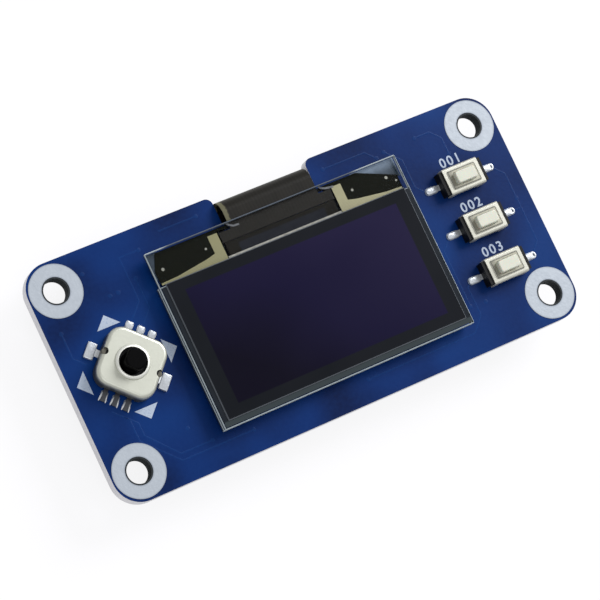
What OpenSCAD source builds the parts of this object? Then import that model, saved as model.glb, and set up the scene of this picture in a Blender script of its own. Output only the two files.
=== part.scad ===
// Small display board: an OLED panel, a five-way joystick and three keys on the front of a
// circuit board, and a two-row socket on its back. Millimetres, +Z towards the viewer.
// The origin is the middle of the four mounting holes, on the board's front face.

/* [Board] */
// Length of the board along X
board_l = 65; // [62:0.5:80]
// Width of the board along Y
board_w = 30.2; // [28.5:0.1:40]
// Thickness of the board
board_t = 1.6; // [0.8:0.1:2.4]
// Radius of the board's corners
corner_r = 3.4; // [1:0.1:3.5]
// Distance from the short edges to the mounting holes
hole_inset_x = 3.5; // [3.4:0.1:5]
// Distance from the long edges to the mounting holes
hole_inset_y = 3.6; // [3.4:0.1:5]
// Diameter of the mounting holes
hole_d = 3; // [2:0.1:3.4]
// Outer diameter of the bare metal ring round each mounting hole
ring_d = 6.6; // [5:0.1:6.8]
// Width of the bare strip between a mounting hole and its ring
ring_gap = 0.2; // [0.1:0.05:0.6]
// Thickness of the metal rings
ring_t = 0.05; // [0.03:0.01:0.1]
// Clearance that the metal rings keep from the socket
ring_keep = 0.15; // [0.1:0.05:0.2]
// Thickness of the solder pads
pad_t = 0.04; // [0.02:0.01:0.1]
// Depth of the notch in the upper edge, which the ribbon passes through
notch_depth = 4; // [2.6:0.1:5]
// Radius of the notch's inner corners
notch_r = 0.8; // [0.3:0.1:1.5]
// Radius of the notch's outer corners
notch_mouth_r = 0.9; // [0.3:0.1:1.5]

/* [Display panel] */
// Length of the panel's front glass
panel_l = 35; // [30:0.1:37]
// Width of the panel's front glass
panel_w = 22.7; // [20:0.1:23.5]
// Place of the panel's middle along X
panel_x = -0.5; // [-1.5:0.1:1.5]
// Thickness of the foam tape that holds the panel
tape_t = 0.8; // [0.3:0.1:1.5]
// Distance from the cap glass's edge to the tape's edge
tape_inset = 2.2; // [0.3:0.1:3]
// Thickness of the cap glass
cap_glass_t = 0.7; // [0.4:0.05:1]
// Thickness of the front glass
front_glass_t = 0.55; // [0.3:0.05:1]
// Depth of the ledge of front glass that the cap glass leaves free
ledge_d = 4.3; // [4:0.1:5]
// Thickness of the polarizer film
polarizer_t = 0.2; // [0.1:0.05:0.3]
// Distance from the front glass's short edges to the polarizer
polarizer_inset_x = 0.8; // [0.2:0.1:2]
// Distance from the front glass's lower edge to the polarizer
polarizer_inset_low = 0.85; // [0.2:0.05:2]
// How far the polarizer reaches past the cap glass onto the ledge
polarizer_lap = 0.1; // [0.05:0.05:0.4]
// Length of the lit area
lit_l = 29.42; // [20:0.01:29.5]
// Width of the lit area
lit_w = 14.7; // [10:0.1:15]
// Depth of the recess in the cap glass
cap_recess = 0.25; // [0.1:0.05:0.3]
// Thickness of the light-emitting layer
emitter_t = 0.02; // [0.01:0.01:0.05]

/* [Ledge of the panel] */
// Length of the driver chip
chip_l = 12; // [8:0.5:14]
// Width of the driver chip
chip_w = 1.2; // [0.8:0.1:1.2]
// Thickness of the driver chip
chip_t = 0.3; // [0.2:0.05:0.5]
// Cover of resin round the driver chip
resin_wall = 0.2; // [0.1:0.05:0.3]
// Distance from the panel's short edges to the black masks
mask_inset_x = 0.6; // [0.3:0.1:2]
// Distance from the panel's upper edge to the masks
mask_inset_y = 0.25; // [0.1:0.05:0.4]
// Height of the masks' cut outer corners
mask_cut_w = 2.1; // [0.5:0.1:2.5]
// Length of the left mask's cut corner
mask_cut_left = 0.9; // [0.3:0.1:5]
// Length of the right mask's cut corner
mask_cut_right = 5; // [0.3:0.1:5]
// Thickness of the black masks
mask_t = 0.08; // [0.05:0.01:0.2]
// Width of the thin end of the row traces
trace_w = 0.35; // [0.2:0.05:0.5]
// Thickness of the row traces
trace_t = 0.03; // [0.02:0.01:0.05]
// Distance from the panel's short edges to the ends of the row traces
trace_inset = 0.7; // [0.3:0.1:2]
// Width of the row traces beside the ribbon
trace_foot_w = 1.3; // [0.8:0.1:1.6]
// Gap between the ribbon's bonded end and the row traces
trace_side = 0.2; // [0.1:0.05:0.3]

/* [Ribbon] */
// Thickness of the ribbon
ribbon_t = 0.1; // [0.08:0.01:0.2]
// Width of the ribbon's neck
neck_w = 12.3; // [10:0.1:13]
// Width of the ribbon's bonded end, on the panel's ledge
bond_w = 15.6; // [13.5:0.1:16]
// Length of the ribbon's bonded end along Y
bond_l = 1.3; // [0.8:0.1:1.5]
// Distance from the panel's edge to the end of the bonded part
bond_inset = 0.9; // [0.5:0.1:1]
// Width of the ribbon's soldered tail
tail_w = 21.4; // [20.8:0.1:24]
// Length of the tail's full width along Y
tail_l = 3.4; // [2.2:0.1:4]
// Length over which the neck widens to the tail
flare_l = 1.6; // [0.8:0.1:3]
// Distance from the board's upper edge to the outside of the ribbon's fold
fold_inset = 0.9; // [0.3:0.1:1.5]
// Place of the ribbon's middle along X
ribbon_x = -0.3; // [-1.5:0.1:1.5]
// Mean clearance between the ribbon and a side of the notch
notch_gap = 0.4; // [0.35:0.05:1]
// How far the notch's middle lies to the right of the ribbon's
notch_shift = 0.3; // [0:0.05:0.3]
// Number of soldered joints on the tail
tail_joints = 30; // [12:1:30]
// Pitch of the soldered joints
tail_pitch = 0.7; // [0.5:0.01:0.7]
// Width of a soldered joint
joint_w = 0.36; // [0.2:0.02:0.4]
// Length of a soldered joint
joint_l = 1.7; // [1:0.1:2]
// Height of a soldered joint
joint_t = 0.06; // [0.03:0.01:0.1]

/* [Keys] */
// Number of keys
key_count = 3; // [1:1:3]
// Pitch of the keys along Y
key_pitch = 6.07; // [5:0.01:6.5]
// How far the keys lie to the right of the middle between the panel and the board's edge
key_shift = -0.25; // [-0.5:0.05:0.5]
// Place of the middle key along Y
key_row_y = -0.35; // [-0.6:0.05:2]
// Length of a key's base
key_l = 6; // [5:0.1:6.6]
// Width of a key's base
key_w = 3; // [2.8:0.1:3.6]
// Height of a key's base
key_base_h = 1.5; // [1.3:0.05:2]
// Thickness of the floor in a key's base
key_floor = 0.45; // [0.3:0.05:0.6]
// Thickness of the wall round the well in a key's base
key_wall = 0.35; // [0.3:0.05:0.4]
// Thickness of the sheet of a key's cover
cover_t = 0.15; // [0.1:0.01:0.25]
// Outer radius of the folds and corners of a key's cover
cover_bend = 0.25; // [0.2:0.01:0.3]
// Height of the lower rim of a key's cover above the board
cover_skirt = 0.75; // [0.4:0.05:1]
// Width of the claws that hold a key's cover
claw_w = 0.9; // [0.5:0.1:1.4]
// How far a key's base shows past each end of its cover
cover_end = 0.5; // [0.2:0.05:0.6]
// Height of the raised panel in a key's cover
cover_raise = 0.12; // [0.05:0.01:0.2]
// Border round the raised panel in a key's cover
cover_border = 0.45; // [0.35:0.05:0.6]
// Length of a key's button
button_l = 2.8; // [2:0.1:3.2]
// Width of a key's button
button_w = 1.5; // [1:0.1:1.7]
// Radius of a button's corners
button_r = 0.3; // [0.15:0.05:0.45]
// Radius of a button's upper edge
button_round = 0.15; // [0.05:0.01:0.15]
// How far a button stands out of its cover
button_h = 0.85; // [0.4:0.05:1]
// Width of a button's flange past its sides
flange_lip = 0.2; // [0.15:0.01:0.25]
// Thickness of a button's flange
flange_t = 0.3; // [0.2:0.05:0.4]
// Diameter of the stub under a button
stub_d = 1; // [0.6:0.1:1.4]
// How far a key moves
key_travel = 0.25; // [0.1:0.05:0.3]
// Diameter of a key's snap dome
key_dome_d = 2; // [1.6:0.1:2.1]
// Height of a key's snap dome
key_dome_h = 0.35; // [0.3:0.05:0.4]
// Width of a key's leads
key_lead_w = 0.7; // [0.4:0.1:1]
// How far a key's leads reach past its base
key_lead_l = 1.6; // [1:0.1:1.8]
// Thickness of the snap domes
dome_t = 0.06; // [0.04:0.01:0.1]
// Thickness of the keys' and the joystick's leads
lead_t = 0.2; // [0.1:0.02:0.3]

/* [Joystick] */
// How far the joystick lies to the right of the middle between the board's edge and the panel
joy_shift = 0.3; // [-0.5:0.05:0.4]
// Place of the joystick along Y
joy_y = 0.15; // [-2:0.05:2]
// Turn of the joystick about Z
joy_turn = 45; // [0:5:90]
// Side of the joystick's shield
shield_w = 7.4; // [7.2:0.1:8]
// Radius of the shield's corners
shield_r = 1.8; // [1:0.1:2.2]
// Thickness of the shield's sheet
shield_t = 0.2; // [0.15:0.01:0.3]
// Height of the shield's top face above the board
shield_h = 2.4; // [2.4:0.05:3]
// Outer radius of the fold along the shield's upper edge
shield_bend = 0.45; // [0.3:0.05:0.6]
// Gap between the board and the shield's lower rim
shield_lift = 0.35; // [0.32:0.01:0.5]
// Height of the windows in the shield above its leads
window_h = 0.5; // [0.2:0.05:0.8]
// Height of the collar round the stick
collar_h = 0.32; // [0.1:0.02:0.5]
// Inner diameter of the collar
collar_d = 3.5; // [3.3:0.1:4]
// Width of the collar's rolled lip
collar_t = 0.4; // [0.2:0.05:0.5]
// Width of a solder ear across its tip
ear_w = 2; // [1.4:0.1:2.4]
// Length of a solder ear's tip
ear_l = 1.1; // [0.6:0.1:1.4]
// Length of a solder ear's neck
ear_neck_l = 0.5; // [0.3:0.05:0.8]
// Width of a solder ear's neck
ear_neck_w = 0.9; // [0.5:0.1:1.3]
// Diameter of the half-round bite in the shield over each solder ear
bite_d = 0.9; // [0.5:0.05:1.2]
// Depth of the bites, from the shield's top
bite_h = 0.8; // [0.4:0.05:1]
// Thickness of the floor in the joystick's base
joy_floor = 0.3; // [0.2:0.02:0.34]
// Diameter of the well in the joystick's base
well_d = 5.8; // [5.4:0.1:6]
// Height of the pivot above the board
pivot_z = 1.35; // [1.3:0.01:1.4]
// Diameter of the stick
stick_d = 2.7; // [2.6:0.1:2.9]
// Width of the stick's head across its flats
stick_flats = 2.3; // [2.1:0.1:2.6]
// Height of the stick's tip above the board
stick_h = 4.1; // [3.6:0.1:6]
// Radius of the stick's rounded tip
stick_round = 0.3; // [0.1:0.05:0.6]
// Diameter of the ball that the stick turns on
ball_d = 2.5; // [2.3:0.1:2.5]
// Diameter of the stick's round foot
foot_d = 1.1; // [0.9:0.05:1.15]
// Diameter of the rocker plate round the ball
rocker_d = 4.8; // [4.5:0.1:5]
// Thickness of the rocker plate
rocker_t = 0.4; // [0.3:0.05:0.4]
// Diameter of the plunger under the stick
plunger_d = 2; // [1.6:0.1:2.1]
// Height of the joystick's snap dome
joy_dome_h = 0.3; // [0.2:0.02:0.34]
// Diameter of the joystick's snap dome
joy_dome_d = 2.6; // [2:0.1:3]
// How far the stick can be pressed
joy_travel = 0.2; // [0.1:0.02:0.25]
// Pitch of the joystick's leads
joy_lead_pitch = 1.45; // [1.2:0.05:1.7]
// Width of the joystick's leads
joy_lead_w = 0.55; // [0.3:0.05:0.8]
// How far the joystick's leads reach past its shield
joy_lead_l = 1.4; // [0.8:0.1:1.6]

/* [Socket] */
// Number of socket positions in a row
socket_cols = 20; // [5:1:20]
// Pitch of the socket's positions
socket_pitch = 2.54; // [2:0.01:2.54]
// Width of the socket's housing
socket_w = 5; // [4.6:0.1:5.4]
// Height of the socket's housing
socket_h = 4.3; // [4:0.1:8.5]
// Gap between the board and the socket's housing
socket_lift = 0.3; // [0.25:0.01:0.6]
// Width of the cavity for one pin
cavity_w = 1; // [0.94:0.02:1.1]
// Width of a cavity's lead-in mouth
mouth_w = 1.7; // [1.3:0.05:1.8]
// Depth of a cavity's lead-in mouth
mouth_d = 0.6; // [0.3:0.05:1]
// Thickness of a contact's sheet
contact_t = 0.15; // [0.1:0.01:0.17]
// Width of a contact
contact_w = 0.6; // [0.4:0.05:0.7]
// Length of a contact's leaf inside the housing
contact_l = 3.3; // [2.8:0.1:3.4]
// Distance from the socket's middle to the tips of its leads
socket_reach = 3.3; // [3:0.1:3.5]

/* [Small parts] */
// Length of a chip capacitor or resistor
small_l = 1.6; // [1:0.1:2]
// Width of a chip capacitor or resistor
small_w = 0.8; // [0.5:0.1:1.2]
// Height of a chip capacitor
capacitor_h = 0.8; // [0.5:0.1:1]
// Height of a chip resistor
resistor_h = 0.45; // [0.3:0.05:0.6]
// Length of the metal end of a capacitor or resistor
small_end = 0.3; // [0.2:0.05:0.45]
// Length of the regulator's body
regulator_l = 2.9; // [2.4:0.1:3.2]
// Width of the regulator's body
regulator_w = 1.6; // [1.4:0.1:1.8]
// Height of the regulator's body
regulator_h = 1; // [0.8:0.1:1.2]
// Gap between the board and the regulator's body
regulator_lift = 0.1; // [0.08:0.01:0.2]

/* [Fits] */
// Clearance between parts that slide or turn
slide_gap = 0.05; // [0.03:0.01:0.08]
// Clearance round a button in its cover
button_gap = 0.1; // [0.05:0.01:0.15]
// Clearance between a cover or shield and the base inside it
cover_gap = 0.05; // [0.02:0.01:0.1]
// How far a pad reaches past the lead on it
pad_lap = 0.25; // [0.1:0.05:0.3]

/* [Hidden] */

$fn = 48;
cut = 0.5;                                   // how far a cutting shape runs past a face

hole_x = board_l / 2 - hole_inset_x;
hole_y = board_w / 2 - hole_inset_y;
board_top_y = board_w / 2;
back_z = -board_t;                           // back face of the board
back_pad_z = back_z - pad_t;                 // face of the pads on the back

// Display panel, from the board up
tape_top = tape_t;
cap_top = tape_top + cap_glass_t;
front_top = cap_top + front_glass_t;
panel_low_y = -panel_w / 2;
panel_high_y = panel_w / 2;
cap_w = panel_w - ledge_d;
cap_y = panel_low_y + cap_w / 2;
cap_high_y = panel_low_y + cap_w;
polarizer_w = cap_w + polarizer_lap - polarizer_inset_low;
polarizer_y = panel_low_y + polarizer_inset_low + polarizer_w / 2;
lit_y = polarizer_y;
cap_rim = 1.2;                               // glued rim round the cap glass's recess
ledge_gap = 0.15;                            // from the cap glass to the resin and the traces

// Ledge, on the back of the front glass
ledge_z = cap_top;
resin_end = 1.4;                             // how much further the resin runs past the chip's ends
resin_side = 0.05;                           // from the resin to the ribbon's bonded end
resin_low_y = cap_high_y + ledge_gap;
resin_l = chip_l + 2 * (resin_wall + resin_end);
chip_y = resin_low_y + resin_wall + chip_w / 2;
bond_high_y = panel_high_y - bond_inset;
bond_low_y = bond_high_y - bond_l;
resin_w = bond_low_y - resin_side - resin_low_y;
ledge_mid = max(bond_w, resin_l) / 2;        // half the run of ribbon and resin between the traces
trace_top = 0.15;                            // how far the row traces run past the ribbon's bonded end
trace_corner = 3.4;                          // a trace's heights, in trace widths: inside its corner,
trace_heel = 2.6;                            // where its taper starts,
trace_tip = 0.7;                             // and at its tip
trace_thick = 0.15;                          // where its taper starts and where it is one width high,
trace_thin = 0.7;                            // as shares of the run from the corner to the tip
mask_side = 0.3;                             // from the ribbon to the masks
mask_high_y = panel_high_y - mask_inset_y;

// Ribbon: round the fold and back under the board
ribbon_top = ledge_z;
ribbon_low = back_pad_z - ribbon_t;
fold_r = (ribbon_top - ribbon_low) / 2;
fold_z = (ribbon_top + ribbon_low) / 2;
fold_y = board_top_y - fold_inset - fold_r;
notch_w = neck_w + 2 * notch_gap;
notch_x = ribbon_x + notch_shift;
notch_low_y = board_top_y - notch_depth;
flare_y = notch_low_y - 0.4;                 // the flare starts clear of the notch
tail_high_y = flare_y - flare_l;
tail_low_y = tail_high_y - tail_l;
joint_inset = 0.2;                           // from the tail's end to its joints
ribbon_joint_y = tail_low_y + joint_inset + joint_l / 2;

// Keys, in the frame of one key
key_x = (board_l / 2 + panel_x + panel_l / 2) / 2 + key_shift;
cover_l = key_l - 2 * cover_end;
cover_in_w = key_w + 2 * cover_gap;
cover_w = cover_in_w + 2 * cover_t;
cover_z = key_base_h + cover_gap;            // underside of the cover's border
cover_top = cover_z + cover_t;
raised_l = cover_l - 2 * cover_border;
raised_w = cover_w - 2 * cover_border;
raised_z = cover_z + cover_raise;            // underside of the raised panel
flange_top = raised_z - slide_gap;
flange_z = flange_top - flange_t;
key_well_l = key_l - 2 * (key_wall + cover_end);
key_well_w = key_w - 2 * key_wall;
key_dome_top = key_floor + key_dome_h;
claw_z = pad_t + 0.1;                        // lower end of the cover's claws
well_r = 0.2;                                // corners of the well in a key's base
key_lead_in = 0.5;                           // how far a lead runs into its base

// Joystick, in its own frame
joy_x = (-board_l / 2 + panel_x - panel_l / 2) / 2 + joy_shift;
shield_in_w = shield_w - 2 * shield_t;
joy_base_w = shield_in_w - 2 * cover_gap;
joy_base_r = shield_r - shield_t - cover_gap;
joy_base_h = shield_h - shield_t - slide_gap;
lip_share = 0.9;                             // share of the collar's wall that its rounded lip takes
plunger_z = joy_floor + joy_dome_h + 0.02;   // just clear of the dome
socket_ball_d = foot_d + 2 * slide_gap;      // cup in the plunger that the stick's foot turns in
plunger_top = pivot_z - 0.4;                 // clear of the ball when the stick tilts
ball_low = pivot_z - 0.1;
ball_high = pivot_z + 0.25;
shaft_z = pivot_z + 0.45;                    // the shaft starts clear of the rocker when the stick tilts
neck_d = 2;
window_side = 0.3;                           // from the outer leads to the sides of the shield's windows
bite_inset = 0.2;                            // from the shield's side in to the middles of its bites
ear_start = shield_w / 2;
ear_tip = ear_start + ear_neck_l + ear_l;

// Socket, centred between the lower mounting holes
socket_y = -hole_y;
socket_end = 0.1;                            // wall past the last position's half pitch
socket_l = socket_cols * socket_pitch + 2 * socket_end;
socket_row = socket_pitch / 2;
socket_top = back_z - socket_lift;
socket_low = socket_top - socket_h;
socket_foot_l = 1;
socket_foot_w = 2;
socket_pad_l = 1.2;
contact_side = 0.08;                         // from a cavity's wall to the leaf in it
contact_out = cavity_w / 2 - contact_side;   // outer side of the leaf, from the cavity's middle
contact_in = contact_out - contact_t;
contact_bow = 0.12;                          // how far the leaf bows into the cavity
contact_bend = 1;                            // length of each half of the bow
foot_z = -pad_t;                             // top of a contact's foot, below the board

// Small parts on the back: place and turn of each
capacitors = [[-9.6, 1.6, 90], [-6.4, 1.6, 90], [-3.2, 1.6, 90], [0, 1.6, 90], [3.2, 1.6, 90],
              [6.4, 1.6, 90], [16.5, 1.5, 0], [16.5, -2.5, 0]];
resistors = [[-9.6, -3, 90], [-6.4, -3, 90], [-3.2, -3, 90], [0, -3, 90], [3.2, -3, 90],
             [-20, 5, 0], [-20, 3, 0], [-20, 1, 0], [-20, -1, 0], [-20, -3, 0],
             [22.5, 5, 0], [22.5, 3, 0], [22.5, 1, 0]];
regulator_x = 11.8;
regulator_y = -0.5;
regulator_pitch = 0.95;
regulator_lead_w = 0.4;
regulator_lead_l = 0.6;
regulator_lead_t = 0.15;
regulator_knee = 0.2;                        // how far a lead runs out before it turns down
regulator_pad_l = 0.6;
body_step = 0.02;                            // a chip's body is set back this far inside its metal ends

// ---- shapes that repeat ----

module rounded_rect(l, w, r) {
    square([l - 2 * r, w], center = true);
    square([l, w - 2 * r], center = true);
    for (sx = [-1, 1], sy = [-1, 1])
        translate([sx * (l / 2 - r), sy * (w / 2 - r)])
            circle(r);
}

module slab(l, w, low, high, r = 0) {
    translate([0, 0, low])
        linear_extrude(high - low)
            if (r > 0) rounded_rect(l, w, r);
            else square([l, w], center = true);
}

// A block with rounded corners whose upper edge is rounded over by the radius bend
module pressed_block(l, w, low, high, r, bend) {
    for (sx = [-1, 1], sy = [-1, 1])
        translate([sx * (l / 2 - r), sy * (w / 2 - r), 0])
            rotate_extrude()
                intersection() {
                    rounded_top(2 * r, low, high, bend);
                    translate([0, low - cut]) square([r + cut, high - low + 2 * cut]);
                }
    along_x(l - 2 * r) rounded_top(w, low, high, bend);
    rotate([0, 0, 90]) along_x(w - 2 * r) rounded_top(l, low, high, bend);
}

// A rectangle from low to high whose two upper corners are rounded
module rounded_top(w, low, high, bend) {
    translate([-w / 2, low]) square([w, high - low - bend]);
    translate([-w / 2 + bend, low]) square([w - 2 * bend, high - low]);
    for (side = [-1, 1])
        translate([side * (w / 2 - bend), high - bend]) circle(bend);
}

// Extrudes a profile drawn in the YZ plane along X
module along_x(l, x = 0) {
    rotate([90, 0, 90])
        translate([0, 0, x - l / 2])
            linear_extrude(l)
                children();
}

module at_holes() {
    for (sx = [-1, 1], sy = [-1, 1])
        translate([sx * hole_x, sy * hole_y, 0])
            children();
}

module at_key(i) {
    translate([key_x, key_row_y + (2 - i) * key_pitch, 0])
        children();
}

module at_joystick() {
    translate([joy_x, joy_y, 0])
        rotate([0, 0, joy_turn])
            children();
}

// Both ends of something that lies along X
module at_both_ends() {
    children();
    mirror([1, 0, 0]) children();
}

// The five-way switch's three leads on each of two sides
module at_joy_leads() {
    at_both_ends()
        for (i = [-1, 0, 1])
            translate([0, i * joy_lead_pitch, 0])
                children();
}

// The two sides of the shield that have solder ears
module at_ears() {
    rotate([0, 0, 90])
        at_both_ends()
            children();
}

// Every position of the socket, with the row's outer side along +Y
module at_socket() {
    for (side = [0, 1], i = [0 : socket_cols - 1])
        translate([(i - (socket_cols - 1) / 2) * socket_pitch, socket_y, 0])
            mirror([0, side, 0])
                translate([0, socket_row, 0])
                    children();
}

module at_tail_joints(y) {
    for (i = [0 : tail_joints - 1])
        translate([ribbon_x + (i - (tail_joints - 1) / 2) * tail_pitch, y, 0])
            children();
}

module at_small(places) {
    for (p = places)
        translate([p[0], p[1], 0])
            rotate([0, 0, p[2]])
                children();
}

// A thin spherical cap, open below, with its rim at z = 0
module snap_dome(d, h, t) {
    r = (d * d / 4 + h * h) / (2 * h);
    intersection() {
        difference() {
            translate([0, 0, h - r]) sphere(r);
            translate([0, 0, h - r]) sphere(r - t);
        }
        cylinder(h = h, d = d + 2 * cut);
    }
}

// ---- board ----

module notch_cut() {
    translate([0, notch_low_y + notch_depth / 2 + cut, 0])
        rounded_rect(notch_w, notch_depth + 2 * cut, notch_r);
    at_both_ends()
        translate([notch_w / 2, board_top_y, 0])
            difference() {
                translate([-cut, -notch_mouth_r]) square([notch_mouth_r + cut, notch_mouth_r + cut]);
                translate([notch_mouth_r, -notch_mouth_r]) circle(notch_mouth_r);
            }
}

module circuit_board() {
    color("#12306c")
        difference() {
            translate([0, 0, back_z])
                linear_extrude(board_t)
                    difference() {
                        rounded_rect(board_l, board_w, corner_r);
                        translate([notch_x, 0, 0]) notch_cut();
                    }
            at_holes()
                translate([0, 0, back_z - cut])
                    cylinder(h = board_t + 2 * cut, d = hole_d);
        }
}

module hole_rings() {
    color("#c4ccd4")
        for (low = [0, back_z - ring_t])
            difference() {
                at_holes()
                    translate([0, 0, low])
                        difference() {
                            cylinder(h = ring_t, d = ring_d);
                            translate([0, 0, -cut])
                                cylinder(h = ring_t + 2 * cut, d = hole_d + 2 * ring_gap);
                        }
                translate([0, socket_y, 0])
                    slab(socket_l + 2 * ring_keep, 2 * (socket_reach + ring_keep), -board_t - 2 * cut, back_z + cut);
            }
}

module front_pads() {
    color("#d9dde0") {
        for (i = [1 : key_count])
            at_key(i)
                at_both_ends()
                    translate([key_l / 2 + key_lead_l / 2 + pad_lap / 2, 0, 0])
                        slab(key_lead_l + pad_lap, key_lead_w + pad_lap, 0, pad_t);
        at_joystick() {
            at_joy_leads()
                translate([ear_start + joy_lead_l / 2, 0, 0])
                    slab(joy_lead_l, joy_lead_w + pad_lap, 0, pad_t);
            at_ears()
                translate([ear_tip - ear_l / 2, 0, 0])
                    slab(ear_l, ear_w, 0, pad_t);
        }
    }
}

module back_pads() {
    color("#d9dde0")
        translate([0, 0, back_pad_z]) {
            at_socket()
                translate([0, socket_reach - socket_row - socket_pad_l / 2, 0])
                    slab(contact_w + pad_lap, socket_pad_l, 0, pad_t);
            at_tail_joints(ribbon_joint_y)
                slab(joint_w, joint_l, 0, pad_t);
            at_small(concat(capacitors, resistors))
                at_both_ends()
                    translate([(small_l - small_end) / 2, 0, 0])
                        slab(small_end + pad_lap, small_w, 0, pad_t);
            at_regulator_leads()
                translate([0, (regulator_w + regulator_pad_l) / 2 + regulator_knee, 0])
                    slab(regulator_lead_w + regulator_lift, regulator_pad_l, 0, pad_t);
        }
}

// ---- display panel ----

module panel_tape() {
    color("#181818")
        translate([panel_x, cap_y, 0])
            slab(panel_l - 2 * tape_inset, cap_w - 2 * tape_inset, 0, tape_top);
}

module cap_glass() {
    color([0.75, 0.82, 0.84, 0.6])
        translate([panel_x, cap_y, 0])
            difference() {
                slab(panel_l, cap_w, tape_top, cap_top);
                slab(panel_l - 2 * cap_rim, cap_w - 2 * cap_rim, cap_top - cap_recess, cap_top + cut);
            }
}

module emissive_layer() {
    color("#241c40")
        translate([panel_x, lit_y, 0])
            slab(lit_l, lit_w, cap_top - emitter_t, cap_top);
}

module front_glass() {
    color([0.75, 0.82, 0.84, 0.4])
        translate([panel_x, 0, 0])
            slab(panel_l, panel_w, cap_top, front_top);
}

module polarizer_film() {
    color("#15151f")
        translate([panel_x, polarizer_y, 0])
            slab(panel_l - 2 * polarizer_inset_x, polarizer_w, front_top, front_top + polarizer_t);
}

module driver_chip() {
    color("#303238")
        translate([ribbon_x, chip_y, 0])
            slab(chip_l, chip_w, ledge_z - chip_t, ledge_z);
}

module chip_resin() {
    color("#1c1c1c")
        difference() {
            translate([ribbon_x, resin_low_y + resin_w / 2, 0])
                slab(resin_l, resin_w, ledge_z - chip_t - resin_wall, ledge_z);
            translate([ribbon_x, chip_y, 0])
                slab(chip_l, chip_w, ledge_z - chip_t, ledge_z + cut);
        }
}

// Each mask fills a corner of the ledge, with its outer corner cut, and runs on above the ribbon
module ledge_masks() {
    color("#15170f")
        for (side = [-1, 1]) {
            outer = panel_x + side * (panel_l / 2 - mask_inset_x);
            inner = ribbon_x + side * (ledge_mid + mask_side);
            neck = ribbon_x + side * (neck_w / 2 + 1.5 * mask_side);
            corner = side < 0 ? mask_cut_left : mask_cut_right;
            strip_y = bond_high_y + trace_top + mask_side / 2;
            translate([0, 0, ledge_z - mask_t - trace_t])
                linear_extrude(mask_t)
                    polygon([
                        [outer, resin_low_y], [outer, mask_high_y - mask_cut_w],
                        [outer - side * corner, mask_high_y], [neck, mask_high_y],
                        [neck, strip_y], [inner, strip_y], [inner, resin_low_y]
                    ]);
        }
}

// Each trace runs down beside the ribbon, turns, and tapers along the cap glass
module row_traces() {
    low = resin_low_y;
    high = bond_high_y + trace_top;
    color("#a8a583")
        for (side = [-1, 1]) {
            inner = ribbon_x + side * (ledge_mid + trace_side);
            foot = inner + side * trace_foot_w;
            end = panel_x + side * (panel_l / 2 - trace_inset);
            run = end - foot;
            translate([0, 0, ledge_z - trace_t])
                linear_extrude(trace_t)
                    polygon([
                        [inner, low], [end, low], [end, low + trace_tip * trace_w],
                        [foot + trace_thin * run, low + trace_w], [foot + trace_thick * run, low + trace_heel * trace_w],
                        [foot, low + trace_corner * trace_w], [foot, high], [inner, high]
                    ]);
        }
}

// ---- ribbon ----

module ribbon() {
    color("#3a3a34") {
        along_x(neck_w, ribbon_x) {
            translate([bond_high_y, ribbon_top - ribbon_t]) square([fold_y - bond_high_y, ribbon_t]);
            translate([fold_y, fold_z])
                difference() {
                    circle(fold_r);
                    circle(fold_r - ribbon_t);
                    translate([-2 * fold_r, -fold_r - cut]) square([2 * fold_r, 2 * fold_r + 2 * cut]);
                }
            translate([flare_y, ribbon_low]) square([fold_y - flare_y, ribbon_t]);
        }
        translate([ribbon_x, (bond_low_y + bond_high_y) / 2, 0])
            slab(bond_w, bond_l, ribbon_top - ribbon_t, ribbon_top);
        translate([ribbon_x, 0, ribbon_low])
            linear_extrude(ribbon_t)
                polygon([
                    [-neck_w / 2, flare_y], [-tail_w / 2, tail_high_y], [-tail_w / 2, tail_low_y],
                    [tail_w / 2, tail_low_y], [tail_w / 2, tail_high_y], [neck_w / 2, flare_y]
                ]);
    }
}

module ribbon_joints() {
    color("#ccd0d2")
        at_tail_joints(ribbon_joint_y)
            slab(joint_w, joint_l, ribbon_low - joint_t, ribbon_low);
}

// ---- socket ----

// A square mouth that narrows to the cavity: two wedges, one across each way
module mouth_wedge() {
    along_x(2 * mouth_w)
        polygon([
            [-mouth_w / 2 - cut * (mouth_w - cavity_w) / (2 * mouth_d), -cut],
            [mouth_w / 2 + cut * (mouth_w - cavity_w) / (2 * mouth_d), -cut],
            [cavity_w / 2, mouth_d], [-cavity_w / 2, mouth_d]
        ]);
}

module socket_housing() {
    color("#17171a")
        difference() {
            union() {
                translate([0, socket_y, 0])
                    slab(socket_l, socket_w, socket_low, socket_top);
                for (sx = [-1, 1])
                    translate([sx * (socket_l - socket_foot_l) / 2, socket_y, 0])
                        slab(socket_foot_l, socket_foot_w, socket_top, back_z);
            }
            at_socket() {
                slab(cavity_w, cavity_w, socket_low - cut, socket_top + cut);
                translate([0, 0, socket_low])
                    intersection() {
                        mouth_wedge();
                        rotate([0, 0, 90]) mouth_wedge();
                    }
            }
        }
}

module socket_contacts() {
    tip = socket_reach - socket_row;
    end_z = -socket_lift - contact_l;
    color("#d4c48c")
        at_socket()
            translate([0, 0, back_z])
                along_x(contact_w)
                    polygon([
                        [tip, foot_z - contact_t], [tip, foot_z], [contact_in, foot_z],
                        [contact_in, end_z + 2 * contact_bend],
                        [contact_in - contact_bow, end_z + contact_bend], [contact_in, end_z],
                        [contact_out, end_z], [contact_out - contact_bow, end_z + contact_bend],
                        [contact_out, end_z + 2 * contact_bend], [contact_out, foot_z - contact_t]
                    ]);
}

// ---- small parts on the back ----

module small_body(h) {
    translate([0, 0, back_pad_z - h])
        slab(small_l - 2 * small_end, small_w - 2 * body_step, body_step, h);
}

module small_ends(h) {
    at_both_ends()
        translate([(small_l - small_end) / 2, 0, back_pad_z - h])
            slab(small_end, small_w, 0, h);
}

module capacitor_bodies() {
    color("#b79a6d") at_small(capacitors) small_body(capacitor_h);
}

module capacitor_ends() {
    color("#cfd2d4") at_small(capacitors) small_ends(capacitor_h);
}

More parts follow.
